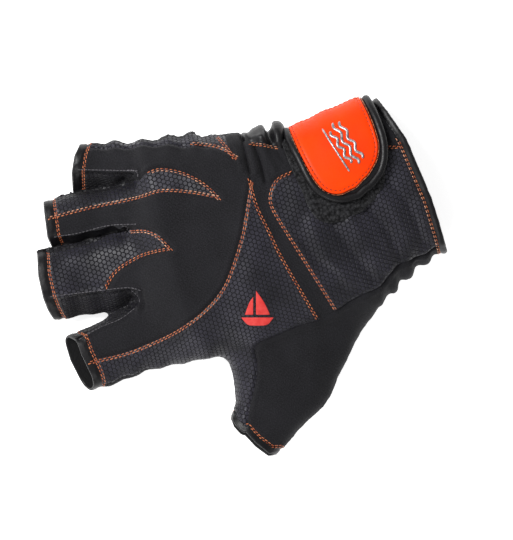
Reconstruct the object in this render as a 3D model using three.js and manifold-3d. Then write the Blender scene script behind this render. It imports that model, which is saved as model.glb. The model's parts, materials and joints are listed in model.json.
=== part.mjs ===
// A right-hand fingerless sailing glove, lying palm down and holding the shape of a hand.
// Millimetres. +Y runs to the fingertips, +X to the little-finger side, +Z up. The origin is the
// middle of the palm pad's flat underside, on the surface that the glove lies on.
//
// The glove is sewn from flat pieces. Here the back pieces are cut from one domed sheet, the palm
// pieces from one flat sheet, and the walls from the space that is left between the two sheets.
// Five stalls bend on hinges near their roots, and the closure tab peels up on a hinge at the wrist.
import * as THREE from "three";
import { mergeVertices } from "three/addons/utils/BufferGeometryUtils.js";
import Module from "manifold-3d";

const wasm = await Module();
wasm.setup();

// ---------------------------------------------------------------- driving dimensions
const WALL = 1.8; // fabric with its lining
const GAP = 0.35; // between two pieces that are sewn together
const PAD = 1.15; // thickness of a palm pad
const PALM_Z = PAD + GAP; // underside of the palm sheet
const LINING_Z = PALM_Z + WALL; // inner face of the palm sheet
const HEM = 5; // width of a stall's hem
const BINDING = 4.5; // width of the binding round the wrist
const SLIT = 1; // gap over a stall's hinge
const HINGE_HEIGHT = 0.45; // of a stall's own height
const LOW = [-100, -98]; // corners of the ground that the sheets are draped over
const HIGH = [70, 96];
const STEP = 6.6; // pitch of the sheets' facets
const CEILING = 60; // over everything

// Each stall has a root, a tip, a height, the distance from its root to its hinge, the angle that it
// bends by, and its two sides: at a distance from the root, how far each is from the centre line.
const STALLS = {
  index: {
    root: [-27.5, 49], tip: [-31, 81], height: 16, hinge: 8, bend: 60,
    sides: [[0, -12.8, 16.2], [13, -12.6, 15.2], [32, -12.4, 12.8]],
  },
  middle: {
    root: [5.2, 46], tip: [5, 86.5], height: 16.5, hinge: 8, bend: 60,
    sides: [[0, -15, 13.2], [40, -14.8, 14]],
  },
  ring: {
    root: [30.4, 41], tip: [30.4, 78], height: 16.5, hinge: 8, bend: 60,
    sides: [[0, -9.4, 9.2], [37, -10, 9.8]],
  },
  little: {
    root: [48.4, 34], tip: [51.9, 60.5], height: 15.5, hinge: 7, bend: 60,
    sides: [[0, -7.6, 8], [27, -9.2, 9.8]],
  },
  thumb: {
    root: [-38, -13], tip: [-82, 15.5], height: 22, hinge: 33, bend: 40,
    sides: [[0, -30, 27], [24, -26.5, 20], [39, -18.5, 14.2], [54, -12.6, 12.2]],
  },
};

// The hand's two sides, its height over the surface, and the height where the back sheet turns down.
const RADIAL_X = [[-87, -22], [-60, -31], [-34, -38], [0, -43], [60, -42]];
const ULNAR_X = [[-87, 50], [-55, 48], [-33, 46.5], [0, 51], [25, 55.5], [60, 57]];
const HAND_TOP = [[-87, 30], [-40, 33], [-5, 33], [30, 28], [52, 17]];
const HAND_TURN = [[-87, 12], [20, 12], [50, 6]];
const STALL_TURN = 6;
const SHOULDER = 5; // how far past the hand's sides its dome would reach the height where it turns down

// Layers of the closure over the back, each with its thickness.
const LOOP = 0.9;
const HOOK = 0.8;
const TAB = 1.4;
const BADGE = 1.1;
const RELIEF = 0.6;
const TAB_AXIS = { from: [51.6, -70], to: [46.8, -31], z: 19.5 };

// ---------------------------------------------------------------- plan geometry
const vec = ([x, y]) => new THREE.Vector2(x, y);
const { lerp, smoothstep, degToRad } = THREE.MathUtils;

// Values at a place in a table whose rows start with a place. ease shapes the way between two rows.
function lookUp(table, place, ease = (x, a, b) => (x - a) / (b - a)) {
  const next = table.findIndex(([at]) => at > place);
  if (next === 0) return table[0].slice(1);
  if (next < 0) return table.at(-1).slice(1);
  const [before, after] = [table[next - 1], table[next]];
  const t = ease(place, before[0], after[0]);
  return before.slice(1).map((value, i) => lerp(value, after[i + 1], t));
}
const smooth = (table, place) => lookUp(table, place, smoothstep)[0];

// A stall's own frame: u runs from its root to its tip, v across it to its little-finger side.
for (const stall of Object.values(STALLS)) {
  const along = vec(stall.tip).sub(vec(stall.root));
  stall.length = along.length();
  stall.along = along.normalize();
  stall.across = new THREE.Vector2(along.y, -along.x);
  stall.at = (u, v) => vec(stall.root).addScaledVector(stall.along, u).addScaledVector(stall.across, v);
  stall.pivot = HINGE_HEIGHT * stall.height;
}

// A smooth line through points.
const curve = (points, steps = 3) =>
  new THREE.SplineCurve(points.map(vec)).getPoints((points.length - 1) * steps);

// An outline moved outwards by a distance.
function grow(outline, distance) {
  const turn = THREE.ShapeUtils.isClockWise(outline) ? -1 : 1;
  const last = outline.length - 1;
  return outline.map((p, i) => {
    const inward = p.clone().sub(outline[i === 0 ? last : i - 1]).normalize();
    const outward = outline[i === last ? 0 : i + 1].clone().sub(p).normalize();
    const tangent = inward.clone().add(outward).normalize();
    const stretch = Math.min(2, 1 / Math.max(0.5, tangent.dot(outward)));
    return p.clone().addScaledVector(new THREE.Vector2(tangent.y, -tangent.x), turn * stretch * distance);
  });
}

// A stall's outline between two places along it, with its sides moved out by a distance.
function stallOutline(stall, from, to, out = 0) {
  const places = [from, ...stall.sides.map(([u]) => u).filter((u) => u > from && u < to), to];
  const side = (u, column, sign) => stall.at(u, lookUp(stall.sides, u)[column] + sign * out);
  const right = places.map((u) => side(u, 1, 1));
  const left = places.map((u) => side(u, 0, -1));
  return [...right, ...left.reverse()];
}

const CUFF_EDGE = [[-22, -87], [1, -85.6], [29, -81.2], [49.5, -73.5]];
const ULNAR_EDGE = [[49.5, -73.5], [47.5, -52], [46, -33], [49, -20], [50.5, -4], [54.5, 16], [56.3, 34]];
const THUMB_WEB = [[-40.1, 49], [-41.3, 30], [-42.5, 20], [-48, 15.5], [-63, 18]];
const HEEL_EDGE = [[-77, -15], [-66, -27], [-42, -48], [-31, -63], [-26, -75], [-22, -87]];
const HAND = [
  ...curve(ULNAR_EDGE), vec([40.6, 36]), vec([39.4, 44.5]), vec([20.5, 45]), vec([18.4, 47.5]),
  vec([-12, 48]), ...curve(THUMB_WEB), ...curve(HEEL_EDGE).slice(0, -1), ...curve(CUFF_EDGE).slice(0, -1),
];

// ---------------------------------------------------------------- the form under the sheets
const dome = (s, power) => Math.pow(Math.max(0, 1 - Math.pow(Math.abs(s), power)), 1 / power);

function softMax(a, b, blend) {
  const near = Math.max(blend - Math.abs(a - b), 0);
  return Math.max(a, b) + (near * near) / (4 * blend);
}

function handTop(x, y) {
  const [left, right] = [smooth(RADIAL_X, y), smooth(ULNAR_X, y)];
  const [top, turn] = [smooth(HAND_TOP, y), smooth(HAND_TURN, y)];
  const s = (x - (left + right) / 2) / ((right - left) / 2 + SHOULDER);
  return turn + (top - turn) * dome(s, 2.6);
}

function stallTop(stall, x, y) {
  const offset = new THREE.Vector2(x, y).sub(vec(stall.root));
  const [u, v] = [offset.dot(stall.along), offset.dot(stall.across)];
  const [left, right] = lookUp(stall.sides, u);
  const s = (v - (left + right) / 2) / ((right - left) / 2 + 1.6);
  return STALL_TURN + (stall.height - STALL_TURN) * dome(s, 2.3) * smoothstep(u, -22, 2);
}

function topHeight(x, y) {
  const stalls = Object.values(STALLS).map((stall) => stallTop(stall, x, y));
  return stalls.reduce((z, other) => softMax(z, other, 4), handTop(x, y));
}

// ---------------------------------------------------------------- solids
function toSolid(geometry) {
  const bare = geometry.clone();
  bare.deleteAttribute("normal");
  bare.deleteAttribute("uv");
  const { attributes, index } = mergeVertices(bare, 1e-4);
  const vertProperties = new Float32Array(attributes.position.array);
  return new wasm.Manifold(
    new wasm.Mesh({ numProp: 3, vertProperties, triVerts: new Uint32Array(index.array) }),
  );
}

function toGeometry(solid) {
  const { vertProperties, triVerts } = solid.getMesh();
  const geometry = new THREE.BufferGeometry();
  geometry.setAttribute("position", new THREE.BufferAttribute(vertProperties, 3));
  geometry.setIndex(new THREE.BufferAttribute(triVerts, 1));
  geometry.computeVertexNormals();
  return geometry;
}

// Everything below a height that is a function of x and y. All such solids share one set of facets.
function below(height) {
  const [width, length] = [HIGH[0] - LOW[0], HIGH[1] - LOW[1]];
  const facets = [Math.round(width / STEP), Math.round(length / STEP)];
  const geometry = new THREE.BoxGeometry(width, length, 2, ...facets, 1);
  geometry.translate(LOW[0] + width / 2, LOW[1] + length / 2, 0);
  const p = geometry.attributes.position;
  for (let i = 0; i < p.count; i++) {
    p.setZ(i, p.getZ(i) < 0 ? -2 : height(p.getX(i), p.getY(i)));
  }
  return toSolid(geometry);
}
const belowBack = (offset) => below((x, y) => topHeight(x, y) + offset);

function prism(outline, low = -1, high = CEILING) {
  const geometry = new THREE.ExtrudeGeometry(new THREE.Shape(outline), {
    depth: high - low,
    bevelEnabled: false,
  });
  return toSolid(geometry.translate(0, 0, low));
}
const union = (solids) => solids.reduce((sum, solid) => sum.add(solid));

// The wedge that lets a stall bend: a slit over its hinge, and a V from the hinge to the palm.
function bendGap(stall, out = 2) {
  const spread = (stall.pivot + 1) * Math.tan(degToRad(stall.bend / 2 + 1.5));
  const right = [[SLIT / 2, CEILING], [SLIT / 2, stall.pivot], [SLIT / 2 + spread, -1]];
  const left = right.map(([u, z]) => [-u, z]).reverse();
  const [low, high] = lookUp(stall.sides, stall.hinge);
  const depth = high - low + 2 * out;
  const wedge = new THREE.ExtrudeGeometry(new THREE.Shape([...left, ...right].map(vec)), {
    depth,
    bevelEnabled: false,
  });
  const forward = new THREE.Vector3(stall.along.x, stall.along.y, 0);
  const up = new THREE.Vector3(0, 0, 1);
  const side = new THREE.Vector3().crossVectors(forward, up);
  wedge.applyMatrix4(new THREE.Matrix4().makeBasis(forward, up, side));
  const start = stall.at(stall.hinge, low - out);
  return toSolid(wedge.translate(start.x, start.y, 0));
}

// ---------------------------------------------------------------- the glove's envelope
const PAST = 12; // how far a cutter runs past an edge that it opens
const CUFF_MOUTH = [[-23, -70], [-19.8, -87 - PAST], [47.4, -87 - PAST], [46.4, -66], [46, -50], [-26, -60]];
const stalls = Object.values(STALLS);

const hollow = union([
  prism(grow(HAND, -WALL)),
  prism(CUFF_MOUTH.map(vec)),
  ...stalls.map((s) => prism(stallOutline(s, -8, s.length + PAST, -WALL))),
]);
const beyondHinges = union(stalls.map((s) => prism(stallOutline(s, s.hinge, s.length + PAST, 1))));
const hand = union([prism(HAND), ...stalls.map((s) => prism(stallOutline(s, -3, s.hinge + 1)))])
  .subtract(union(stalls.map((s) => bendGap(s))))
  .subtract(beyondHinges);

const GROUND = [LOW, [HIGH[0], LOW[1]], HIGH, [LOW[0], HIGH[1]]].map(vec);
const backLayer = belowBack(0).subtract(belowBack(-WALL));
const palmLayer = prism(GROUND, PALM_Z, LINING_Z);
const wallLayer = belowBack(-WALL - GAP).intersect(prism(GROUND, LINING_Z + GAP));
const lumen = belowBack(-WALL).intersect(prism(GROUND, LINING_Z)).intersect(hollow);
const tubeLayer = belowBack(0).intersect(prism(GROUND, PALM_Z)).subtract(lumen);

// Stock is material that pieces are cut from, one after another. Each cut leaves a gap round the piece.
class Stock {
  constructor(solid) {
    this.solid = solid;
  }
  cut(outline, low = -1, high = CEILING) {
    const piece = this.solid.intersect(prism(outline, low, high));
    this.solid = this.solid.subtract(prism(grow(outline, GAP), low, high));
    return piece;
  }
}

// ---------------------------------------------------------------- materials
const finish = (color, roughness, metalness = 0) => ({ color, roughness, metalness });
const PLAIN = finish(0x2a2a2b, 0.95);
const EMBOSSED = finish(0x26242c, 0.8);
const LEATHER = finish(0x35353a, 0.85);
const TRIM = finish(0x1c1b1d, 0.6);
const LOOP_PILE = finish(0x151516, 1);
const GLOSSY = finish(0xf94a0c, 0.35);
const SILVER = finish(0xb9bcc0, 0.35, 0.6);
const PRINT = finish(0xd8372f, 0.7);

const glove = new THREE.Group();
function add(name, solid, { color, roughness, metalness }) {
  const material = new THREE.MeshStandardMaterial({ color, roughness, metalness });
  const mesh = new THREE.Mesh(toGeometry(solid), material);
  mesh.name = name;
  glove.add(mesh);
}

// ---------------------------------------------------------------- seams across the back
const KNUCKLE_SEAM = [
  [-31.8, 70], [-29.8, 47.8], [-26.6, 33.5], [-21, 21], [-12.4, 9.8], [4.2, -1.1], [29.2, -12.2],
];
const GUSSET_TOP = [[29.2, -12.2], [17, -12.4], [5.3, -14.8], [-9, -17.9], [-38, -26.4]];
const GUSSET_FOOT = [[26, -24], [22, -18.6], [15.5, -17], [8, -18.8], [-9.7, -24.6], [-36, -33.3]];
const CUFF_SEAM = [[-36, -33.3], [-32.4, -46], [-30.4, -55.5], [-24, -63], [-22.3, -75], [-18.5, -84]];
const THUMB_SEAM = [[-41.8, 3.2], [-52, 5], [-63, 10], [-79, 18]];
const LITTLE_LEAF = [[53.4, 44], [51.8, 25], [49.4, 10], [45, -1], [38.3, -8.2]];
const RING_LEAF = [[32.3, 60], [32.2, 38], [31.4, 22], [28, 11], [23, 2.5]];
const RING_LEAF_BACK = [[23, 2.5], [33.8, 9.5], [40, 18], [43, 26], [42, 33.5]];
const MIDDLE_LEAF = [[-13, 66], [-2, 59.6], [4.6, 51.5], [7.3, 41], [6.9, 27.9]];
const MIDDLE_LEAF_BACK = [[6.9, 27.9], [14.3, 32.3], [18.4, 37.5], [20.2, 45.5]];
const FAR = 90; // beyond the glove

// ---------------------------------------------------------------- the stalls
// The embossed side of a stall's back, from one distance across it to another.
const SIDE_INSERTS = { index: [-30, -2.2], ring: [1.9, 30], little: [4.2, 30], thumb: [4.6, 30] };

for (const [name, stall] of Object.entries(STALLS)) {
  const { hinge, length } = stall;
  const hemStart = length - HEM;
  const lengthwise = (low, high) =>
    stallOutline({ ...stall, sides: [[0, low, high]] }, hinge - 1, hemStart + 1);
  const own = prism(stallOutline(stall, hinge, hemStart - GAP)).subtract(bendGap(stall));
  const back = new Stock(own.intersect(backLayer));
  const walls = own.intersect(wallLayer).subtract(hollow);
  const insert = SIDE_INSERTS[name];
  if (insert) add(`${name}_side_insert`, back.cut(lengthwise(...insert)), EMBOSSED);
  add(`${name}_back`, back.solid, name === "middle" ? EMBOSSED : PLAIN);
  add(`${name}_palm`, own.intersect(palmLayer), LEATHER);
  add(`${name}_radial_fourchette`, walls.intersect(prism(lengthwise(-30, 0))), EMBOSSED);
  add(`${name}_ulnar_fourchette`, walls.intersect(prism(lengthwise(0, 30))), EMBOSSED);
  add(`${name}_hem`, tubeLayer.intersect(prism(stallOutline(stall, hemStart, length))), TRIM);
}

// ---------------------------------------------------------------- the cuff's binding
const bindingEdge = [[-40, -87], ...CUFF_EDGE, [60, -73.5]].map(([x, y]) => [x, y + BINDING]);
const bindingRegion = [vec([-40, -95]), vec([60, -95]), ...curve(bindingEdge).reverse()];
add("cuff_binding", tubeLayer.intersect(hand).intersect(prism(bindingRegion)), TRIM);
const sewn = hand.subtract(prism(grow(bindingRegion, GAP)));

// ---------------------------------------------------------------- the back of the hand
const back = new Stock(sewn.intersect(backLayer));
const join = (...lines) => lines.flatMap((line) => (line.length > 2 ? curve(line) : line.map(vec)));
const reversed = (line) => [...line].reverse();

add("little_leaf", back.cut(join(LITTLE_LEAF, [[45, -6], [FAR, -3]], [[FAR, 44]])), EMBOSSED);
add("ring_leaf", back.cut(join(RING_LEAF, RING_LEAF_BACK.slice(1), [[42, 60]])), EMBOSSED);
add("middle_leaf", back.cut(join(MIDDLE_LEAF, MIDDLE_LEAF_BACK.slice(1), [[20.2, 66]])), EMBOSSED);
add("metacarpal_panel", back.cut(
  join(KNUCKLE_SEAM, GUSSET_TOP.slice(1), THUMB_SEAM, [[-79, 40], [-44, 40]], [[-44, 70]]),
), EMBOSSED);
add("gusset_strip", back.cut(join(GUSSET_TOP, reversed(GUSSET_FOOT))), PLAIN);
add("cuff_panel", back.cut(join(GUSSET_FOOT, CUFF_SEAM.slice(1), [[26, -84]])), EMBOSSED);
add("thumb_base_panel", back.cut(
  join(reversed(CUFF_SEAM), [[-38, -26.4]], THUMB_SEAM, [[-FAR, 18], [-FAR, -84]]),
), PLAIN);
add("back_panel", back.solid, PLAIN);

// ---------------------------------------------------------------- the palm
const closed = (points) => curve([...points, points[0]], 4).slice(0, -1);
const PALM_PAD = [[-28, -13], [30, -14], [40, 4], [38, 24], [10, 31], [-24, 31], [-33, 8]];
const HEEL_PAD = [[-25, -58], [-14, -72], [20, -70], [40, -62], [42, -40], [30, -20], [-12, -19], [-28, -36]];
const THUMB_PAD = [[-37, -34], [-58, -25], [-68, -10], [-58, 3], [-42, 4], [-36, -14]];
add("palm_panel", sewn.intersect(palmLayer), LEATHER);
add("palm_pad", prism(closed(PALM_PAD), 0, PAD), TRIM);
add("heel_pad", prism(closed(HEEL_PAD), 0, PAD), TRIM);
add("thumb_pad", prism(closed(THUMB_PAD), 0, PAD), TRIM);
const ELASTIC = [[-27, -40], [42, -40], [42, -48], [-27, -48]];
add("wrist_elastic", prism(ELASTIC.map(vec), LINING_Z + GAP, LINING_Z + GAP + 1), TRIM);

// ---------------------------------------------------------------- the walls of the hand
const handWalls = new Stock(sewn.intersect(wallLayer).subtract(hollow));
const WALLS = {
  ulnar_side_panel: [[43, -88], [FAR, -88], [FAR, 50], [48.6, 50], [48.6, 25], [43, -15]],
  ring_little_web: [[30, 62], [30, 25], [48, 25], [48, 62]],
  middle_ring_web: [[5, 62], [5, 25], [29.5, 25], [29.5, 62]],
  index_middle_web: [[-26, 62], [-26, 25], [4.5, 25], [4.5, 62]],
  index_side_panel: [[-FAR, 62], [-FAR, 24], [-26.5, 24], [-26.5, 62]],
  thumb_web: [[-FAR, 23.5], [-FAR, 3], [-26.5, 3], [-26.5, 23.5]],
};
for (const [name, region] of Object.entries(WALLS)) {
  add(name, handWalls.cut(region.map(vec)), EMBOSSED);
}
add("heel_side_panel", handWalls.solid, PLAIN);

// ---------------------------------------------------------------- the closure
const onBack = (outline, low, thickness) =>
  belowBack(low + thickness).subtract(belowBack(low)).intersect(prism(outline));
const LOOP_PATCH = [
  [42, -31], [19, -31.6], [6.5, -34.4], [1, -43], [1.4, -50.5], [5, -59.5], [14.3, -68.2],
  [30, -70.6], [44, -67],
];
const TAB_OUTLINE = [
  [46.4, -31], [31.4, -32.6], [18, -35.9], [11, -41.8], [8.4, -49], [9.6, -58], [16, -67.2], [26, -72.2],
  [38, -73], [50.9, -69.8],
];
const BADGE_OUTLINE = [
  [46.2, -34], [31.7, -36], [20, -39], [14.4, -43.4], [12.8, -49.5], [16, -59], [22.5, -66], [31.6, -68.6],
  [42, -67.9], [50.2, -65.6],
];
const hookLow = LOOP + 2 * GAP;
const tabLow = hookLow + HOOK + GAP;
const badgeLow = tabLow + TAB + GAP;
const badgeEdge = curve(BADGE_OUTLINE);
const tabEdge = curve(TAB_OUTLINE);
const pastRoot = [vec([60, -65.6]), vec([60, -34])];
add("loop_patch", onBack(closed(LOOP_PATCH), GAP, LOOP), LOOP_PILE);
add("hook_patch", onBack(grow(badgeEdge, -1), hookLow, HOOK), LOOP_PILE);
add("tab_base", onBack(tabEdge, tabLow, TAB), TRIM);
add("tab_piping", onBack(tabEdge, badgeLow, BADGE + 0.4)
  .subtract(prism(grow([...badgeEdge, ...pastRoot], GAP))), TRIM);
add("tab_badge", onBack(badgeEdge, badgeLow, BADGE), GLOSSY);

// A plain wave in relief on the badge, lying across the wrist.
const WAVE = { at: [32.5, -55.5], length: 18, height: 1.3, width: 2.2, turn: 200 };
function wave() {
  const rows = Array.from({ length: 13 }, (_, i) => i / 12 - 0.5);
  const edge = (side) => rows.map((t) => {
    const swing = WAVE.height * Math.sin(t * Math.PI * 4);
    return new THREE.Vector2(t * WAVE.length, swing + (side * WAVE.width) / 2)
      .rotateAround(new THREE.Vector2(), degToRad(WAVE.turn))
      .add(vec(WAVE.at));
  });
  return [...edge(-1), ...edge(1).reverse()];
}
add("badge_wave", onBack(wave(), badgeLow + BADGE + GAP, RELIEF), SILVER);

// The strap comes round from the palm and carries the tab over the little-finger side of the wrist.
const strapEdge = curve(ULNAR_EDGE).filter((p) => p.y > -69.5 && p.y < -31.5);
const shifted = (line, x) => line.map((p) => new THREE.Vector2(p.x + x, p.y));
add("wrist_strap", prism(
  [...shifted(strapEdge, GAP + 1.6), ...shifted(strapEdge, GAP).reverse()], PALM_Z, TAB_AXIS.z - 1.5,
), TRIM);

// A plain sail shape printed on the back, beside the index knuckle.
const SAIL = [[-33.4, -4.6], [-26.5, 6.8], [-20.6, -5.4], [-27, -7.4]].map(vec);
const TRANSFER_THICKNESS = 0.4;
add("sail_transfer", onBack(SAIL, GAP, TRANSFER_THICKNESS), PRINT);

export default glove;
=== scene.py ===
"""A right-hand short-finger sailing glove, lying palm down, sewn from stretch panels.

The frame is in metres. Shapes are worked out here in millimetres, in the frame's axes: +Y to the
fingertips, +X to the little-finger side, +Z up, with the glove's underside on z = 0.

One smooth skin is made round the whole hand, as the zero surface of a distance field. It is cut
along the seams into panels, the seams are pressed into it, and each panel is given its thickness.
Panels that cross a stall's hinge blend between the hand and the stall.
"""
import json
import math

import bpy
import numpy as np
import openvdb
from mathutils import Matrix, Vector, kdtree
from mathutils.bvhtree import BVHTree
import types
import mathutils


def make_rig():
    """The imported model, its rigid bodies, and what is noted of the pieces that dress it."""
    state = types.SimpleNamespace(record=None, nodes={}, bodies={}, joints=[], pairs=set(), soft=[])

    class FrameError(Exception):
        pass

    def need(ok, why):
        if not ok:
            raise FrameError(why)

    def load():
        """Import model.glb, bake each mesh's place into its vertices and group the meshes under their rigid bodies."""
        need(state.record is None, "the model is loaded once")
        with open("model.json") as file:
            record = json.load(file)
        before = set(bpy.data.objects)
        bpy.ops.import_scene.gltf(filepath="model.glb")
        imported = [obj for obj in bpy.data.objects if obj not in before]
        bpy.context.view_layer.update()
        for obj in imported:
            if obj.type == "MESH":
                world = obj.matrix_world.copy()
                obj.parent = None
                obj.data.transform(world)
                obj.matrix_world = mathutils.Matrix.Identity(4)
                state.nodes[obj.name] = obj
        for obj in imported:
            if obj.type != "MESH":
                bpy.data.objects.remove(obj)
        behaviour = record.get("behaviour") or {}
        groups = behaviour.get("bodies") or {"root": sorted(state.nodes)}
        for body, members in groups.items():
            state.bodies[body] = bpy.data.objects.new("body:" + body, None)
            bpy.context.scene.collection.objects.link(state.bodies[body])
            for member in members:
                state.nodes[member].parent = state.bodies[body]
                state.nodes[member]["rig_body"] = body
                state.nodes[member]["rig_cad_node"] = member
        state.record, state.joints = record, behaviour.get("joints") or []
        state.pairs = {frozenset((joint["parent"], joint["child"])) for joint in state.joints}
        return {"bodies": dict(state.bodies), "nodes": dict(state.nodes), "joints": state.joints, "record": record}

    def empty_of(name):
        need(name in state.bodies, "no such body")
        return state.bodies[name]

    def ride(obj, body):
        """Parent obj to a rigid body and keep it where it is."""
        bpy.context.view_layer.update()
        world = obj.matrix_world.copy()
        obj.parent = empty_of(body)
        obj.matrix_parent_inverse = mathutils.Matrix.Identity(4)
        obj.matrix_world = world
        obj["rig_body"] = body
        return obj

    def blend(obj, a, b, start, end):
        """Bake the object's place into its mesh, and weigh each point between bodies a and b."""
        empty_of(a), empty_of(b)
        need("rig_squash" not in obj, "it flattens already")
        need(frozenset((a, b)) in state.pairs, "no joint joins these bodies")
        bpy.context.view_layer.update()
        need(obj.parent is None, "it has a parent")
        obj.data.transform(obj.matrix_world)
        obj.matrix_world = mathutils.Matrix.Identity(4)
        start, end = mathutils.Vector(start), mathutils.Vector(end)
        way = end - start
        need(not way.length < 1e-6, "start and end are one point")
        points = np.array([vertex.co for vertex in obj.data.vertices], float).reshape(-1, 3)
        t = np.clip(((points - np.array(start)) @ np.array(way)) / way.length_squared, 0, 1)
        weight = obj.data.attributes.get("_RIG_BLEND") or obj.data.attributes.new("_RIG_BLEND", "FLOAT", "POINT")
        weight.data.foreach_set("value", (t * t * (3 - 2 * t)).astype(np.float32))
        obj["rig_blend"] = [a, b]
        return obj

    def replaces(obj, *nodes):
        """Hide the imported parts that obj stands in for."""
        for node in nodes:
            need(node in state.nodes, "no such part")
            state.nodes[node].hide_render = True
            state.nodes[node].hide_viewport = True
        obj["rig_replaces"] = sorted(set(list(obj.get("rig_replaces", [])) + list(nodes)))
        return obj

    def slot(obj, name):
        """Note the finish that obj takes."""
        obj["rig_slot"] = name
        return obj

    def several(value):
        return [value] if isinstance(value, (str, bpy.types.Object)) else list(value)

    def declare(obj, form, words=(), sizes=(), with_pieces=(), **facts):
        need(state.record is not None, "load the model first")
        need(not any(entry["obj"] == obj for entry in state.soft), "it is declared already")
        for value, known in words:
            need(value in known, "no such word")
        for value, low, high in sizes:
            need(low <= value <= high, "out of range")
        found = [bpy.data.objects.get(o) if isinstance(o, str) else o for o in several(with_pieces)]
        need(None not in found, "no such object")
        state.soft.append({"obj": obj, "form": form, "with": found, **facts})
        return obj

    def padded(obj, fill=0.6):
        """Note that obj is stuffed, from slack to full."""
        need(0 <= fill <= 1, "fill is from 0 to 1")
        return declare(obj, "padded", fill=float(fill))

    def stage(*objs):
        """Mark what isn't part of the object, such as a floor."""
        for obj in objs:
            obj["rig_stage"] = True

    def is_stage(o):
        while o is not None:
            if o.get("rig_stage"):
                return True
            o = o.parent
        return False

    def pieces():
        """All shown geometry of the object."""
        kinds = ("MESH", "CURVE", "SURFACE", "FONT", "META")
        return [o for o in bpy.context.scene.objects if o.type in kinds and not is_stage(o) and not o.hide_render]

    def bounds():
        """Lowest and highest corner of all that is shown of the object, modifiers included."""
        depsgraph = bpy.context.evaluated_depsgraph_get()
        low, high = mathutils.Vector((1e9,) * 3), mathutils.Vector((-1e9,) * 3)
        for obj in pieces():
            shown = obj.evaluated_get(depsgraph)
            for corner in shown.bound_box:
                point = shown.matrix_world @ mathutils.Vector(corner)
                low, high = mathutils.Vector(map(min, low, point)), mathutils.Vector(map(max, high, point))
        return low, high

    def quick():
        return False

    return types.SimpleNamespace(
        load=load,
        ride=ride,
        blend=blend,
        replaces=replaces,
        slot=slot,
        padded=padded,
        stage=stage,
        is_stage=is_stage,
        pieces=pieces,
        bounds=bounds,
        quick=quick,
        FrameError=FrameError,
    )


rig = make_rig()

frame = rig.load()
CAD_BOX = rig.bounds()
MM = 0.001

# ------------------------------------------------------------------ driving dimensions, mm
FABRIC = 1.2  # thickness of a panel
VOXEL = 0.72 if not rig.quick() else 1.1  # pitch of the skin's vertices
HEM = 3.4  # width of the smooth band at a stall's end
THUMB_HEM = 2.1  # and at the thumb's end
BINDING = 2.6  # width of the band round the cuff
VIEW_RIGHT, VIEW_UP = (-0.242, -0.970), (0.970, -0.242)  # the picture's axes in plan

# ------------------------------------------------------------------ small helpers


def table(rows, place):
    """Values at places in a table whose rows start with a place, eased between rows."""
    rows = np.array(rows, float)
    place = np.clip(place, rows[0, 0], rows[-1, 0])
    i = np.clip(np.searchsorted(rows[:, 0], place, side="right") - 1, 0, len(rows) - 2)
    t = (place - rows[i, 0]) / (rows[i + 1, 0] - rows[i, 0])
    t = t * t * (3 - 2 * t)
    return rows[i, 1] + (rows[i + 1, 1] - rows[i, 1]) * t


def linear(rows, place, column=1):
    """The same, in straight lines between rows, for a column of the table."""
    rows = np.array(rows, float)
    return np.interp(place, rows[:, 0], rows[:, column])


def smooth_min(a, b, blend):
    """The lesser of two distances, rounded off where they meet."""
    near = np.maximum(blend - np.abs(a - b), 0)
    return np.minimum(a, b) - near * near / (4 * blend)


def smooth_max(a, b, blend):
    return -smooth_min(-a, -b, blend)


def ease(x, low, high):
    t = np.clip((x - low) / (high - low), 0, 1)
    return t * t * (3 - 2 * t)


def unit(v, tiny=0.0):
    """Vectors made 1 long. The tiny amount lets those of no length through."""
    return v / (np.linalg.norm(v, axis=-1, keepdims=True) + tiny)


def edges_of(faces):
    """The edges of triangles: all first ones, then all second ones, then all third ones."""
    return np.vstack([faces[:, [0, 1]], faces[:, [1, 2]], faces[:, [2, 0]]])


def in_four(corners, middles):
    """The four triangles that each triangle makes with the middles of its three edges."""
    a, b, c = corners.T
    ab, bc, ca = middles.T
    return [np.stack(t, 1) for t in ((a, ab, ca), (ab, b, bc), (ca, bc, c), (ab, bc, ca))]


def spline(points, step=1.5):
    """A smooth line through points (Catmull-Rom), sampled about every step mm."""
    p = np.array(points, float)
    p = np.vstack([2 * p[0] - p[1], p, 2 * p[-1] - p[-2]])
    out = []
    for i in range(1, len(p) - 2):
        count = max(2, int(np.linalg.norm(p[i + 1] - p[i]) / step))
        t = np.linspace(0, 1, count, endpoint=False)[:, None]
        a, b, c, d = p[i - 1 : i + 3]
        out.append(0.5 * (2 * b + (c - a) * t + (2 * a - 5 * b + 4 * c - d) * t**2
                          + (3 * b - a - 3 * c + d) * t**3))
    return np.vstack(out + [p[-2:-1]])


def line_distance(points, line):
    """Distance in plan from points to a line of many segments."""
    best = np.full(len(points), np.inf)
    for a, b in zip(line[:-1], line[1:]):
        along = b - a
        t = np.clip(((points - a) @ along) / (along @ along + 1e-12), 0, 1)
        best = np.minimum(best, ((points - a - t[:, None] * along) ** 2).sum(1))
    return np.sqrt(best)


def inside(points, outline):
    """Signed distance in plan to a closed outline: negative inside."""
    loop = np.vstack([outline, outline[:1]])
    crossings = np.zeros(len(points), int)
    x, y = points[:, 0], points[:, 1]
    for (ax, ay), (bx, by) in zip(loop[:-1], loop[1:]):
        if ay != by:
            crossings += ((ay > y) != (by > y)) & (x < (bx - ax) * (y - ay) / (by - ay) + ax)
    distance = line_distance(points, loop)
    return np.where(crossings % 2 == 1, -distance, distance)


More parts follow.
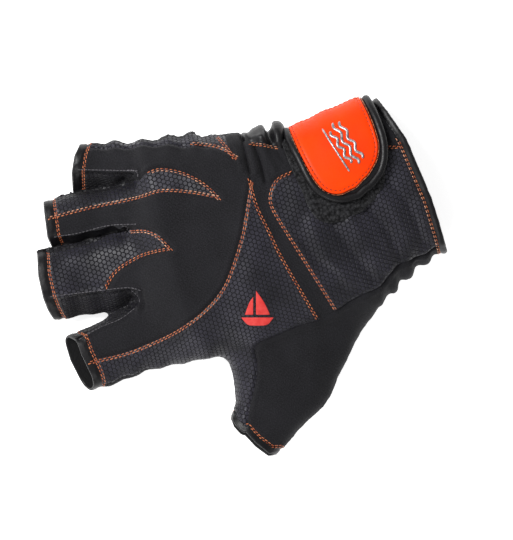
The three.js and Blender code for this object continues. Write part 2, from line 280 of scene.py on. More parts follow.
# ------------------------------------------------------------------ the form of the hand
# The hand's sides and top along Y, and the height at which its sides stand upright.
RADIAL_X = [(-95, -22), (-84, -23), (-74, -26), (-66, -30), (-60, -33.6), (-54, -38), (-48, -40.4),
            (-38, -40), (-20, -39.6), (0, -42.5), (22, -42), (48, -41)]
ULNAR_X = [(-95, 51), (-77, 50.6), (-71, 49.1), (-66, 48.6), (-52, 46.7), (-40, 44.4), (-33, 43.3),
           (-27, 47), (-20, 49.2), (-4, 50.5), (16, 54.5), (36, 57)]
HAND_TOP = [(-95, 29), (-84, 30), (-40, 33), (-5, 33), (28, 29), (52, 18)]
SIDE_Z = 12.0
PALM_Z = 1.5  # height of the glove's flat underside
PALM_SEAM_Z = 4.5  # height of the seam between palm and sides
UPPER_POWER, LOWER_POWER = 2.7, 4.5  # how square the hand's section is over and under SIDE_Z
# The line across the finger roots, from the index side to the little-finger side.
CROTCH = [(-41, 51), (-10.8, 47.6), (19.8, 45.2), (40.5, 36.3), (58, 31)]

# Each stall: its root and tip in plan; top, the height of its back, and rise, how much higher the
# back is at the root; seam_side, the side whose wall slopes and is seen from above; sides, places
# along it with its two sides there; seam, places along it with the seam at the top of that wall;
# end, places across it with how far along it its opening lies; slant, how the opening leans back.
STALLS = {
    "index": dict(root=(-27.5, 49), tip=(-31, 82.2), top=15.6, rise=2.5, seam_side="ulnar",
                  sides=[(0, -12.9, 17), (6, -12.9, 16.6), (11, -12.9, 15.7), (15, -12.9, 14.8),
                         (21, -12.9, 14.5), (33, -12.8, 14.2)],
                  seam=[(0, 14), (8, 11.8), (18, 11.3), (33, 8.5)], slant=0.42,
                  end=[(-12.8, 32.4), (2.3, 34.2), (13, 33.6)]),
    "middle": dict(root=(5.2, 46), tip=(5, 87), top=16.2, rise=4.0, seam_side="radial",
                   sides=[(0, -17, 13.9), (5, -18.4, 14.2), (9, -18.8, 14.4), (15.5, -19.2, 14.1),
                          (20, -18.6, 13.9), (28, -17.7, 14.2), (40, -16.8, 14.7)],
                   seam=[(0, -12), (5, -9.4), (15, -7.8), (40, -4.6)], slant=0.06,
                   end=[(-17, 39.6), (-10, 41.6), (-4.5, 42.3), (5.3, 42), (14.7, 40.2)]),
    "ring": dict(root=(30.4, 41), tip=(30.4, 78.3), top=16.2, rise=5.5, seam_side="radial",
                 sides=[(0, -10.8, 9.3), (5, -11.2, 8.4), (12, -11.3, 8.8), (22, -11, 10),
                        (37, -10.9, 10.6)],
                 seam=[(0, -8.6), (12, -6.2), (25, -6.2), (37, -5.2)], slant=0.06,
                 end=[(-11, 37.9), (-4.5, 39), (11.2, 37.2)]),
    "little": dict(root=(48.4, 34), tip=(51.9, 60.8), top=15.4, rise=6.0, seam_side="radial",
                   sides=[(0, -9, 8.2), (5, -10.3, 8.6), (14.6, -11.8, 9.3), (28, -11.8, 10.2)],
                   seam=[(0, -4.4), (15, -2.2), (27, -0.6)], slant=0.06,
                   end=[(-11.6, 29.4), (-1.6, 28.9), (5.7, 26.9), (10.6, 24.2)]),
}
THUMB = dict(root=(-38, -13), tip=(-82, 15.5), top=21.0,
             sides=[(-20, -29, 20), (-6, -29.4, 23), (5, -27.8, 23), (14, -26.6, 21),
                    (23, -26, 18.6), (28, -24.8, 16.6), (33, -22.4, 14), (38, -19.6, 12.2),
                    (42, -17.6, 11.9), (54, -12.6, 12.4)], slant=0.1,
             end=[(-13, 54.6), (-9.7, 56), (-3, 53.9), (3.2, 50.6), (4.6, 51), (9, 48.8),
                  (12, 45.6)])
ALL_STALLS = {**STALLS, "thumb": THUMB}
for stall in ALL_STALLS.values():
    root, tip = np.array(stall["root"], float), np.array(stall["tip"], float)
    stall["along"] = (tip - root) / float(np.linalg.norm(tip - root))
    stall["across"] = np.array([stall["along"][1], -stall["along"][0]])
    stall["sign"] = 1.0 if stall.get("seam_side") == "ulnar" else -1.0


def stall_place(stall, p):
    """Distance along a stall from its root, and across it to the little-finger side."""
    offset = p[..., :2] - np.array(stall["root"], float)
    return offset @ stall["along"], offset @ stall["across"]


def to_plan(stall, u, v):
    """The place in plan of a distance along a stall and across it."""
    u, v = np.asarray(u, float)[..., None], np.asarray(v, float)[..., None]
    return np.array(stall["root"], float) + u * stall["along"] + v * stall["across"]


def stall_sides(stall, u):
    """A stall's two sides, across it, at a distance along it."""
    return linear(stall["sides"], u, 1), linear(stall["sides"], u, 2)


def hand_sides(y):
    """The hand's two sides, in X, at a Y."""
    return table(RADIAL_X, y), table(ULNAR_X, y)


def across_hand(x, y, most):
    """Place across the hand, from -1 at its thumb side to 1 at its little-finger side."""
    left, right = hand_sides(y)
    return np.clip((x - (left + right) / 2) / ((right - left) / 2), -most, most)


def oval(dx, dz, half_width, up, down, power_up, power_down):
    """Distance, nearly, to a rounded oblong that has other heights above and below its middle."""
    half_height = np.where(dz > 0, up, down)
    power = np.where(dz > 0, power_up, power_down)
    a = (np.abs(dx) / half_width + 1e-6) ** power
    b = (np.abs(dz) / half_height + 1e-6) ** power
    r = (a + b) ** (1 / power)
    return np.sqrt(dx * dx + dz * dz + 1e-9) * (1 - 1 / r)


def root_line(x):
    """The Y of the line across the finger roots."""
    roots = np.array(CROTCH, float)
    return np.interp(x, roots[:, 0], roots[:, 1])


def hand_distance(p):
    x, y, z = p[..., 0], p[..., 1], p[..., 2]
    left, right = hand_sides(y)
    tube = oval(x - (left + right) / 2, z - SIDE_Z, (right - left) / 2,
                table(HAND_TOP, y) - SIDE_Z, SIDE_Z - PALM_Z, UPPER_POWER, LOWER_POWER)
    return smooth_max(tube, (y - root_line(x)) * 0.9, 7)


def finger_distance(stall, p):
    """Distance, nearly, to a stall: its back, the upright wall that is hidden, and the sloping
    wall that is seen, with its upright foot."""
    u, v = stall_place(stall, p)
    z = p[..., 2]
    low, high = stall_sides(stall, u)
    seam = linear(stall["seam"], u)
    top = stall["top"] + stall["rise"] * (1 - ease(u, -4, 18)) + 4 * ease(-u, 0, 24)
    crown = top - 0.010 * (v - (low + high) / 2) ** 2
    sign = stall["sign"]
    seen = high if sign > 0 else low
    hidden = low if sign > 0 else high
    slope = np.maximum(np.abs(seen - seam), 1.2)
    drop = top - PALM_SEAM_Z
    wall = (sign * (v - seam) * drop + (z - top) * slope) / np.sqrt(drop**2 + slope**2)
    foot = sign * (v - seen)
    back_wall = -sign * (v - hidden) + 0.03 * (z - 8) ** 2 - 0.5
    body = smooth_max(z - crown, wall, 2.4)
    body = smooth_max(body, foot, 3)
    body = smooth_max(body, back_wall, 6)
    return smooth_max(body, PALM_Z - z, 6)


def thumb_distance(p):
    u, v = stall_place(THUMB, p)
    low, high = stall_sides(THUMB, u)
    top = THUMB["top"] + 3 * ease(-u, -45, -10)
    middle = 11.0  # height at which its sides stand upright
    return oval(v - (low + high) / 2, p[..., 2] - middle, (high - low) / 2, top - middle,
                middle - PALM_Z, 2.4, 3.2)


# How far the stalls and the thumb reach back into the hand, before they are joined to it.
INTO_HAND, THUMB_INTO_HAND = 24, 14


def glove_distance(p):
    """Distance, nearly, to the outer skin of the whole glove: negative inside."""
    thumb = np.maximum(thumb_distance(p), -(stall_place(THUMB, p)[0] + THUMB_INTO_HAND))
    field = smooth_min(hand_distance(p), thumb, 12)
    for stall in STALLS.values():
        root = stall_place(stall, p)[0] + INTO_HAND
        finger = np.maximum(finger_distance(stall, p), -root)
        field = smooth_min(field, finger, 3.5)
    return field


# ------------------------------------------------------------------ the skin
GRID_LOW = np.array([-96.0, -96.0, -2.0])
GRID_HIGH = np.array([68.0, 94.0, 40.0])


def face_normals(points, tris):
    """Normals of triangles, as long as twice their area."""
    start = points[tris[:, 0]]
    return np.cross(points[tris[:, 1]] - start, points[tris[:, 2]] - start)


def make_skin():
    """The zero surface of the glove's distance, as vertices and triangles."""
    counts = np.ceil((GRID_HIGH - GRID_LOW) / VOXEL).astype(int) + 1
    axes = [GRID_LOW[i] + VOXEL * np.arange(counts[i]) for i in range(3)]
    p = np.stack(np.meshgrid(*axes, indexing="ij"), axis=-1)
    grid = openvdb.FloatGrid(background=3.0)
    grid.copyFromArray(np.clip(glove_distance(p), -3, 3).astype(np.float32))
    points, quads = grid.convertToQuads(isovalue=0.0)
    points = np.asarray(points, float) * VOXEL + GRID_LOW
    quads = np.asarray(quads, int)
    points = onto_skin(points, 3)
    tris = np.vstack([quads[:, [0, 1, 2]], quads[:, [0, 2, 3]]])
    if (face_normals(points, tris) * gradient(points[tris].mean(1))).sum() < 0:
        tris = tris[:, ::-1]
    return points, tris


REACH = 0.3  # how far off the distance is looked up to find its slope, mm


def rise_along_axes(p):
    """How much the distance grows along each axis over twice the reach."""
    return np.stack([glove_distance(p + s) - glove_distance(p - s) for s in np.eye(3) * REACH],
                    axis=-1)


def gradient(p):
    """Direction out of the skin."""
    return unit(rise_along_axes(p), 1e-9)


def onto_skin(p, rounds):
    """Moves points onto the zero surface of the distance."""
    for _ in range(rounds):
        g = rise_along_axes(p) / (2 * REACH)
        size = (g**2).sum(-1, keepdims=True) + 0.05
        p = p - np.clip(glove_distance(p)[:, None], -0.8, 0.8) * g / size
    return p


class Skin:
    """Triangles with a panel's name each. Cutting a panel keeps the whole skin joined."""

    def __init__(self, points, tris):
        self.p = points
        self.n = gradient(points)
        self.tris = tris
        self.names = ["hand"]
        self.label = np.zeros(len(tris), int)

    def cut(self, sources, field, new_name):
        """Faces of the source panels where the field is negative become the new panel."""
        ids = [self.names.index(s) for s in sources if s in self.names]
        if not ids:
            return
        chosen = np.isin(self.label, ids)
        used = np.unique(self.tris[chosen])
        value = np.full(len(self.p), np.nan)
        value[used] = field(self.p[used])
        value[np.abs(value) < 1e-3] = 1e-3
        tris = self.tris
        edges = np.unique(np.sort(edges_of(tris[chosen]), axis=1), axis=0)
        crossing = edges[value[edges[:, 0]] * value[edges[:, 1]] < 0]
        a, b = value[crossing[:, 0]], value[crossing[:, 1]]
        t = (a / (a - b))[:, None]
        made = self.p[crossing[:, 0]] * (1 - t) + self.p[crossing[:, 1]] * t
        normals = self.n[crossing[:, 0]] * (1 - t) + self.n[crossing[:, 1]] * t
        first = len(self.p)
        size = np.int64(first)
        keys = crossing[:, 0] * size + crossing[:, 1]
        order = np.argsort(keys)
        keys, index = keys[order], order + first

        def middle(i, j):
            """The new vertex on an edge, or -1."""
            if not len(keys):
                return np.full(len(i), -1)
            key = np.minimum(i, j) * size + np.maximum(i, j)
            at = np.clip(np.searchsorted(keys, key), 0, len(keys) - 1)
            return np.where(keys[at] == key, index[at], -1)

        self.p = np.vstack([self.p, made])
        self.n = np.vstack([self.n, unit(normals)])
        value = np.concatenate([value, np.zeros(len(made))])
        mids = np.stack([middle(tris[:, 0], tris[:, 1]), middle(tris[:, 1], tris[:, 2]),
                         middle(tris[:, 2], tris[:, 0])], axis=1)
        count = (mids >= 0).sum(1)
        new_tris, new_labels = [tris[count == 0]], [self.label[count == 0]]
        for k in range(3):
            roll = [k, (k + 1) % 3, (k + 2) % 3]
            one = (count == 1) & (mids[:, k] >= 0)
            a, b, c = tris[one][:, roll].T
            m = mids[one, k]
            new_tris += [np.stack([a, m, c], 1), np.stack([m, b, c], 1)]
            new_labels += [self.label[one]] * 2
            two = (count == 2) & (mids[:, (k + 1) % 3] < 0)
            a, b, c = tris[two][:, roll].T
            m, q = mids[two, k], mids[two, (k + 2) % 3]
            new_tris += [np.stack([a, m, q], 1), np.stack([m, b, c], 1), np.stack([m, c, q], 1)]
            new_labels += [self.label[two]] * 3
        three = count == 3
        new_tris += in_four(tris[three], mids[three])
        new_labels += [self.label[three]] * 4
        self.tris = np.vstack(new_tris)
        self.label = np.concatenate(new_labels)
        if new_name not in self.names:
            self.names.append(new_name)
        chosen = np.isin(self.label, ids)
        centre = np.nan_to_num(value[self.tris[chosen]], nan=1.0).sum(1)
        picked = np.flatnonzero(chosen)[centre < 0]
        self.label[picked] = self.names.index(new_name)

    def faces(self, name):
        return self.tris[self.label == self.names.index(name)]

    def drop(self, name):
        keep = self.label != self.names.index(name)
        self.tris, self.label = self.tris[keep], self.label[keep]


# ------------------------------------------------------------------ seams in plan, as in the CAD
CUFF_EDGE = [(-24, -87.4), (-22, -87), (1, -85.6), (29, -81.2), (49.5, -73.5), (56, -70.5)]
KNUCKLE_SEAM = [(-30.6, 84), (-31.3, 62), (-29.8, 47.8), (-26.6, 33.5), (-21, 20.6), (-12.4, 9.8),
                (4.2, -1.1), (16.3, -6.7), (29.2, -12.2)]
GUSSET_TOP = [(29.2, -12.2), (17, -12.4), (5.3, -14.8), (-9, -17.9), (-38, -26.4)]
GUSSET_FOOT = [(24.4, -20.6), (20.5, -18), (15.5, -17), (8, -18.8), (-9.7, -24.6), (-36, -33.3)]
CUFF_SEAM = [(-36, -33.3), (-32.4, -46), (-30.4, -55.5), (-24, -63), (-22.3, -75), (-18.5, -88)]
CUFF_ULNAR = [(26.2, -92), (26.6, -60), (26.4, -26), (24.4, -20.6)]
THUMB_SEAM = [(-38, -26.4), (-38.4, -17), (-40.3, -6), (-41.9, 3.6), (-48.2, 4.4), (-56.6, 6.9),
              (-66.5, 12.1), (-76.6, 16.4), (-86, 19.5)]
LITTLE_LEAF = [(62, 66), (58.4, 50), (55.6, 38), (54, 27), (51.8, 18), (49.4, 10), (45, -1),
               (38.3, -8.2)]
RING_LEAF = [(32.6, 84), (32.9, 60), (32.0, 38), (32.3, 27), (28.8, 15.2), (23, 2.4)]
RING_LEAF_BACK = [(23, 2.4), (28.2, 5.1), (33.8, 9.5), (39.7, 17), (43, 25.4), (42.6, 31),
                  (40.4, 36.2)]
MIDDLE_LEAF = [(-12, 66), (-2, 59.8), (3.6, 53.6), (6.9, 43.5), (7.4, 36.3), (6.9, 27.9)]
MIDDLE_LEAF_BACK = [(6.9, 27.9), (9.6, 29.4), (14.3, 32.3), (18.4, 37.5), (20.2, 45.2)]
GATHER_SEAM = [(46.6, -12.6), (44.4, -15.2), (42, -21), (39.3, -27), (37.6, -33)]
STALL_SEAM_Z = 10.5  # height of the seam between a stall's back and its wall that is not seen


def plan_region(*lines):
    """Negative inside an outline of smooth lines and, from two points each, straight ones."""
    outline = np.vstack([spline(line, 2.5) if len(line) > 2 else np.array(line, float)
                         for line in lines])
    return lambda p: inside(p[:, :2], outline)


def both(*fields):
    """Negative where all the fields are."""
    return lambda p: np.max([f(p) for f in fields], axis=0)


def past_roots(p):
    """Negative beyond the line across the finger roots."""
    return root_line(p[:, 0]) - p[:, 1]


def nearest_to(name):
    """Negative where a stall is nearer than all the stalls after it."""
    def field(p):
        order = list(STALLS)
        others = [finger_distance(STALLS[other], p) for other in order[order.index(name) + 1:]]
        return finger_distance(STALLS[name], p) - np.min(others, axis=0)
    return field


def to_end(stall):
    """Distance along a stall to its opening, which leans back towards the top by the slant."""
    def field(p):
        u, v = stall_place(stall, p)
        return linear(stall["end"], v) - u - stall["slant"] * (p[:, 2] - PALM_Z)
    return field


def to_cuff(p):
    """Distance in Y from the cuff's edge."""
    return p[:, 1] - np.interp(p[:, 0], *np.array(CUFF_EDGE).T)


def less(field, amount):
    return lambda p: field(p) - amount


def under(height):
    return lambda p: p[:, 2] - height


def seen_wall(stall):
    """Negative beyond the seam on the side of the stall that is seen from above."""
    def field(p):
        u, v = stall_place(stall, p)
        return stall["sign"] * (linear(stall["seam"], u) - v)
    return field


def hidden_wall(stall):
    """Negative on the stall's other side, under its seam."""
    def field(p):
        u, v = stall_place(stall, p)
        low, high = stall_sides(stall, u)
        return np.maximum(-stall["sign"] * ((low + high) / 2 - v), p[:, 2] - STALL_SEAM_Z)
    return field


def hand_side(p):
    """Negative below the seam between the back of the hand and its sides."""
    return p[:, 2] - np.interp(p[:, 0], [-30, 30], [10.5, 15.5])


def cut_panels(skin):
    """Cuts the skin into the hand and its stalls, and these along their seams."""
    skin.cut(["hand"], past_roots, "little")
    for name in ("index", "middle", "ring"):
        skin.cut(["little"], nearest_to(name), name)
    skin.cut(["hand"], both(lambda p: 24 - stall_place(THUMB, p)[0],
                            lambda p: stall_place(THUMB, p)[1] - 24), "thumb")
    for name, stall in ALL_STALLS.items():
        skin.cut([name], to_end(stall), "gone")
        skin.cut([name], less(to_end(stall), THUMB_HEM if name == "thumb" else HEM), name + "_hem")
    skin.cut(["hand"], to_cuff, "gone")
    skin.cut(["hand"], less(to_cuff, BINDING), "cuff_binding")
    skin.drop("gone")
    skin.cut(["hand"], under(PALM_SEAM_Z), "palm_panel")
    for name, stall in STALLS.items():
        hidden = "radial" if stall["seam_side"] == "ulnar" else "ulnar"
        skin.cut([name], under(PALM_SEAM_Z), name + "_palm")
        skin.cut([name], seen_wall(stall), f"{name}_{stall['seam_side']}_fourchette")
        skin.cut([name], hidden_wall(stall), f"{name}_{hidden}_fourchette")
    skin.cut(["thumb"], under(PALM_SEAM_Z), "thumb_palm")
    skin.cut(["thumb"], under(STALL_SEAM_Z), "thumb_radial_fourchette")
    skin.cut(["thumb_radial_fourchette"], lambda p: -1 - stall_place(THUMB, p)[1],
             "thumb_ulnar_fourchette")
    skin.cut(["hand"], hand_side, "heel_side_panel")
    skin.cut(["heel_side_panel"], lambda p: np.maximum(20 - p[:, 0], -1.0), "ulnar_side_panel")
    skin.cut(["heel_side_panel"], lambda p: 24 - p[:, 1], "index_side_panel")
    skin.cut(["heel_side_panel"], lambda p: 3 - p[:, 1], "thumb_web")

    skin.cut(["hand"], plan_region(LITTLE_LEAF, [(45, -6), (90, -3)], [(90, -3), (90, 66)]),
             "little_leaf")
    skin.cut(["little"], plan_region(LITTLE_LEAF, [(90, -8), (90, 66)]), "little_side_insert")
    ring = plan_region(RING_LEAF, RING_LEAF_BACK, [(41, 50), (60, 84)])
    skin.cut(["hand"], ring, "ring_leaf")
    skin.cut(["ring"], ring, "ring_side_insert")
    middle = plan_region(MIDDLE_LEAF, MIDDLE_LEAF_BACK, [(21, 100), (-12, 100)])
    skin.cut(["hand"], middle, "middle_leaf")
    skin.cut(["middle"], middle, "middle_back")
    radial = plan_region(KNUCKLE_SEAM, GUSSET_TOP, THUMB_SEAM, [(-100, 30), (-95, 84)])
    skin.cut(["hand"], radial, "metacarpal_panel")
    skin.cut(["index"], radial, "index_side_insert")
    skin.cut(["thumb"], radial, "thumb_side_insert")
    skin.cut(["hand"], plan_region(GUSSET_TOP, GUSSET_FOOT[::-1], [(26, -17), (29.2, -12.2)]),
             "gusset_strip")
    skin.cut(["hand"], plan_region(GUSSET_FOOT, CUFF_SEAM, CUFF_ULNAR), "cuff_panel")
    skin.cut(["hand"], plan_region(CUFF_SEAM[::-1], THUMB_SEAM, [(-120, 19.5), (-120, -95)],
                                   [(-120, -95), (-18.5, -95)]), "thumb_base_panel")
    skin.cut(["hand", "ulnar_side_panel"], plan_region(GATHER_SEAM, [(90, -33), (90, -14)]),
             "wrist_gather")
    for old, new in (("hand", "back_panel"), ("index", "index_back"), ("middle", "middle_gore"),
                     ("ring", "ring_back"), ("little", "little_back"), ("thumb", "thumb_back")):
        skin.names[skin.names.index(old)] = new


skin = Skin(*make_skin())
cut_panels(skin)

# Panels of the same cloth, cut apart only where a stall's bend starts. No seam shows between them.
CLOTHS = [
    ["back_panel", "index_back", "middle_gore", "ring_back", "little_back"],
    ["little_leaf", "little_side_insert"], ["ring_leaf", "ring_side_insert"],
    ["middle_leaf", "middle_back"], ["metacarpal_panel", "index_side_insert", "thumb_side_insert"],
    ["thumb_base_panel", "thumb_back"], ["palm_panel", *(name + "_palm" for name in ALL_STALLS)],
    ["ulnar_side_panel", "little_ulnar_fourchette"],
    ["index_side_panel", "index_radial_fourchette"],
    ["thumb_web", "thumb_ulnar_fourchette"], ["heel_side_panel", "thumb_radial_fourchette"],
    ["index_ulnar_fourchette", "middle_radial_fourchette"],
    ["middle_ulnar_fourchette", "ring_radial_fourchette"],
    ["ring_ulnar_fourchette", "little_radial_fourchette"],
]
CLOTH_OF = {name: i for i, names in enumerate(CLOTHS) for name in names}
SEEN_WALLS = [f"{name}_{stall['seam_side']}_fourchette" for name, stall in STALLS.items()]


def seams(skin):
    """Edges where two panels are sewn, whether one of the two is a wall that is seen, and the
    vertices on open edges."""
    edges = np.sort(edges_of(skin.tris), axis=1)
    label = np.tile(skin.label, 3)
    key = edges[:, 0] * np.int64(len(skin.p)) + edges[:, 1]
    order = np.argsort(key, kind="stable")
    key, edges, label = key[order], edges[order], label[order]
    twin = np.flatnonzero(key[1:] == key[:-1])
    cloth = np.array([CLOTH_OF.get(name, 100 + i) for i, name in enumerate(skin.names)])
    a, b = label[twin], label[twin + 1]
    sewn = cloth[a] != cloth[b]
    wall = np.array([name in SEEN_WALLS for name in skin.names])
    low = np.array([name.endswith("_palm") or name == "palm_panel" or name.endswith("_hem")
                    for name in skin.names])
    ridge = (wall[a] | wall[b]) & ~(low[a] | low[b])
    new = key[1:] != key[:-1]
    single = np.append(new, True) & np.append(True, new)
    return edges[twin[sewn]], ridge[sewn], np.unique(edges[single])


def distance_to(points, targets, most=12.0):
    """Distance from each point to the nearest of the targets, up to the most."""
    tree = kdtree.KDTree(len(targets))
    for i, q in enumerate(targets):
        tree.insert(q, i)
    tree.balance()
    return np.minimum(np.array([tree.find(q)[2] for q in points]), most)


def ripples(p, wavelength, seed, count=7):
    """A smooth random swell between about -1 and 1."""
    rng = np.random.default_rng(seed)
    total = np.zeros(len(p))
    for _ in range(count):
        wave = rng.normal(size=3)
        wave *= 2 * np.pi / (wavelength * rng.uniform(0.75, 1.4) * np.linalg.norm(wave))
        total += np.sin(p @ wave + rng.uniform(0, 2 * np.pi))
    return total / count**0.5


def bump(distance, width):
    return np.exp(-((distance / width) ** 2))


def along_line(p, points):
    return line_distance(p[:, :2], spline(points, 2))


def vertices_of(*names):
    mask = np.zeros(len(skin.p), bool)
    for name in names:
        mask[skin.faces(name)] = True
    return mask


EMBOSSED = [name for name in skin.names
            if name.endswith(("_leaf", "_insert", "_web", "_fourchette"))]
EMBOSSED += ["metacarpal_panel", "cuff_panel", "middle_back", "index_side_panel",
             "ulnar_side_panel"]
PLAIN = ["back_panel", "gusset_strip", "thumb_base_panel", "heel_side_panel", "index_back",
         "ring_back", "little_back", "thumb_back", "middle_gore"]
# Soft folds in the back: a line in plan, the fold's width and its height.
FOLDS = [
    ([(54, -12), (44, -12.6), (31, -12.4)], 0.75, -2.0),
    ([(54, -14.6), (42, -15), (31, -15)], 1.3, 1.0),
    ([(42, -17.2), (36, -18), (26, -18)], 0.75, -2.0),
    ([(44, -20.5), (37, -21), (30, -23)], 1.5, 1.0),
    ([(53, -8), (42, -9), (34, -9.6)], 1.2, 0.7),
    ([(50, -24.5), (42, -25.4), (33, -28)], 1.2, -0.9),
    ([(4, -33), (-12, -36), (-26, -44)], 3.2, 0.8), ([(0, -42), (-14, -47), (-27, -53)], 2.8, -1.2),
    ([(1, -50), (-12, -55), (-24, -60)], 2.8, 1.1), ([(4, -58), (-6, -63), (-21, -67)], 2.2, -1.1),
    ([(8, -64), (0, -69), (-18, -73)], 2.2, 0.9), ([(14, -69), (2, -75), (-16, -78)], 1.8, -0.9),
    ([(22, -73), (10, -79), (-8, -81)], 1.8, 0.5), ([(-4, -28), (-12, -31), (-20, -38)], 2.0, -0.5),
    ([(-44, -6), (-56, -10), (-66, -8)], 5.0, -0.5),
    ([(-40, -24), (-52, -22), (-62, -18)], 4.0, 0.5),
    ([(-36, -40), (-44, -34), (-50, -26)], 3.2, -0.5),
    ([(-42, 12), (-40, 24), (-36, 34)], 3.0, -0.35),
    ([(24, -8), (30, 4), (40, 10)], 4.0, -0.35), ([(8, 2), (14, 14), (14, 24)], 5.0, -0.35),
    ([(-20, 40), (-10, 42), (0, 40)], 3.6, 0.4), ([(18, 40), (26, 38), (32, 42)], 3.0, -0.4),
]


def press_seams():
    """Moves the skin along its normals: seams, the recessed strip, folds, puckers and swells."""
    edges, ridge, rim = seams(skin)
    p, n = skin.p, skin.n
    middles = (p[edges[:, 0]] + p[edges[:, 1]]) / 2
    near = distance_to(p, middles)
    near_ridge = distance_to(p, middles[ridge])
    near_groove = distance_to(p, middles[~ridge])
    x, y, z = p.T
    upper = ease(n[:, 2], 0.1, 0.6)
    move = -0.62 * bump(near_groove, 0.66) + 0.24 * bump(near_groove - 1.9, 0.9)
    move += 0.75 * bump(near_ridge, 0.85) - 0.3 * bump(near_ridge - 2.1, 0.9)
    move -= vertices_of("gusset_strip") * ease(near, 0.2, 1.4)
    for line, width, height in FOLDS:
        move += height * bump(along_line(p, line), width) * upper
    hem = vertices_of(*(name + "_hem" for name in ALL_STALLS))
    swell = ripples(p, 26, 3) * 0.34 + ripples(p, 11, 5) * 0.11
    pucker = ripples(p, 4.2, 9) * 0.10 * bump(near_groove - 1.8, 1.6)
    move += (swell + pucker) * ease(z, 3, 9)
    # The little-finger edge is gathered into scallops; the wrist's edges are gathered more loosely.
    outer = ease(n[:, 0], 0.15, 0.75) * ease(z, 2, 6)
    scallop = np.sin(2 * np.pi * (y - 17.1) / 10.5 + 0.8 * np.sin(y / 9))
    scallop = scallop * ease(y, -4, 6) * (1 - ease(y, 44, 52))
    move += outer * ease(x, 40, 50) * 0.85 * scallop
    ribs = np.sin(2 * np.pi * y / 2.6 + 1.5 * np.sin(y / 7)) * bump(z - 13, 4)
    move += outer * ease(x, 42, 50) * ease(y, -6, 4) * 0.22 * ribs
    puffs = 4.9 * bump(y + 28.2, 3.0) + 2.5 * bump(y + 20.4, 2.8) - 0.9 * bump(y + 24.2, 1.2)
    move += outer * ease(x, 36, 47) * (puffs + 0.5 * np.sin(y * 1.35) * bump(y + 22, 8))
    radial = ease(-n[:, 0], 0.2, 0.8) * ease(z, 2, 6) * (1 - ease(z, 20, 27))
    gather = np.sin(2 * np.pi * (y + 80) / 8.5) * (1 - ease(y, -62, -50)) * ease(y, -86, -82)
    move += radial * 0.9 * gather + radial * 0.35 * np.sin(2 * np.pi * y / 11) * ease(y, 15, 25)
    for at_x, at_y in ((-13, 50), (41, 38.5), (21.5, 47)):
        near_crotch = np.hypot(x - at_x, y - at_y)
        move += 0.8 * bump(near_crotch, 4.5) * ripples(p, 5.0, 21 + int(at_x)) * ease(z, 5, 9)
    move *= 1 - ease(-n[:, 2], 0.3, 0.8)
    move = np.where(hem, np.clip(move, -0.25, 0.1), move)
    skin.p = p + np.maximum(move, -2.0)[:, None] * n
    return near, rim


def vertex_normals(points, tris):
    """Normals at points, weighted by the area of the triangles that meet there."""
    face = face_normals(points, tris)
    total = np.zeros_like(points)
    for k in range(3):
        for axis in range(3):
            total[:, axis] += np.bincount(tris[:, k], face[:, axis], len(points))
    return unit(total, 1e-12)


def wrap_place(p):
    """Place in the cloth, mm: across and along, with the sides folded out flat."""
    x, y, z = p.T
    t = across_hand(x, y, 1)
    steps = np.linspace(0, 1, 200)
    half_width, rise = 44, 20  # of the hand's section, for the length of its curve
    height = (1 - steps**UPPER_POWER) ** (1 / UPPER_POWER) * rise
    arc = np.append(0, np.cumsum(np.hypot(np.diff(steps) * half_width, np.diff(height))))
    fold = np.interp(np.abs(t), steps, arc - half_width * steps) + np.maximum(SIDE_Z - z, 0)
    return np.stack([x + np.sign(t) * fold, y], axis=1)


def stall_wrap(stall, p):
    """The same for a stall: its walls are folded out from its back."""
    u, v = stall_place(stall, p)
    low, high = stall_sides(stall, u)
    drop = np.maximum(stall["top"] - 2.5 - p[:, 2], 0) * ease(u, -2, 10)
    sign = np.where(v > (low + high) / 2, 1, -1)
    return p[:, :2] + (sign * drop * 0.9)[:, None] * stall["across"]


near_seam, rim_vertices = press_seams()
skin.n = vertex_normals(skin.p, skin.tris)
TREE = BVHTree.FromPolygons(skin.p.tolist(), skin.tris.tolist())

# ------------------------------------------------------------------ materials


def rgb(red, green, blue):
    """Linear colour from screen values of 0 to 255."""
    values = np.array([red, green, blue]) / 255
    linear_values = np.where(values > 0.04045, ((values + 0.055) / 1.055) ** 2.4, values / 12.92)
    return (*linear_values.tolist(), 1.0)


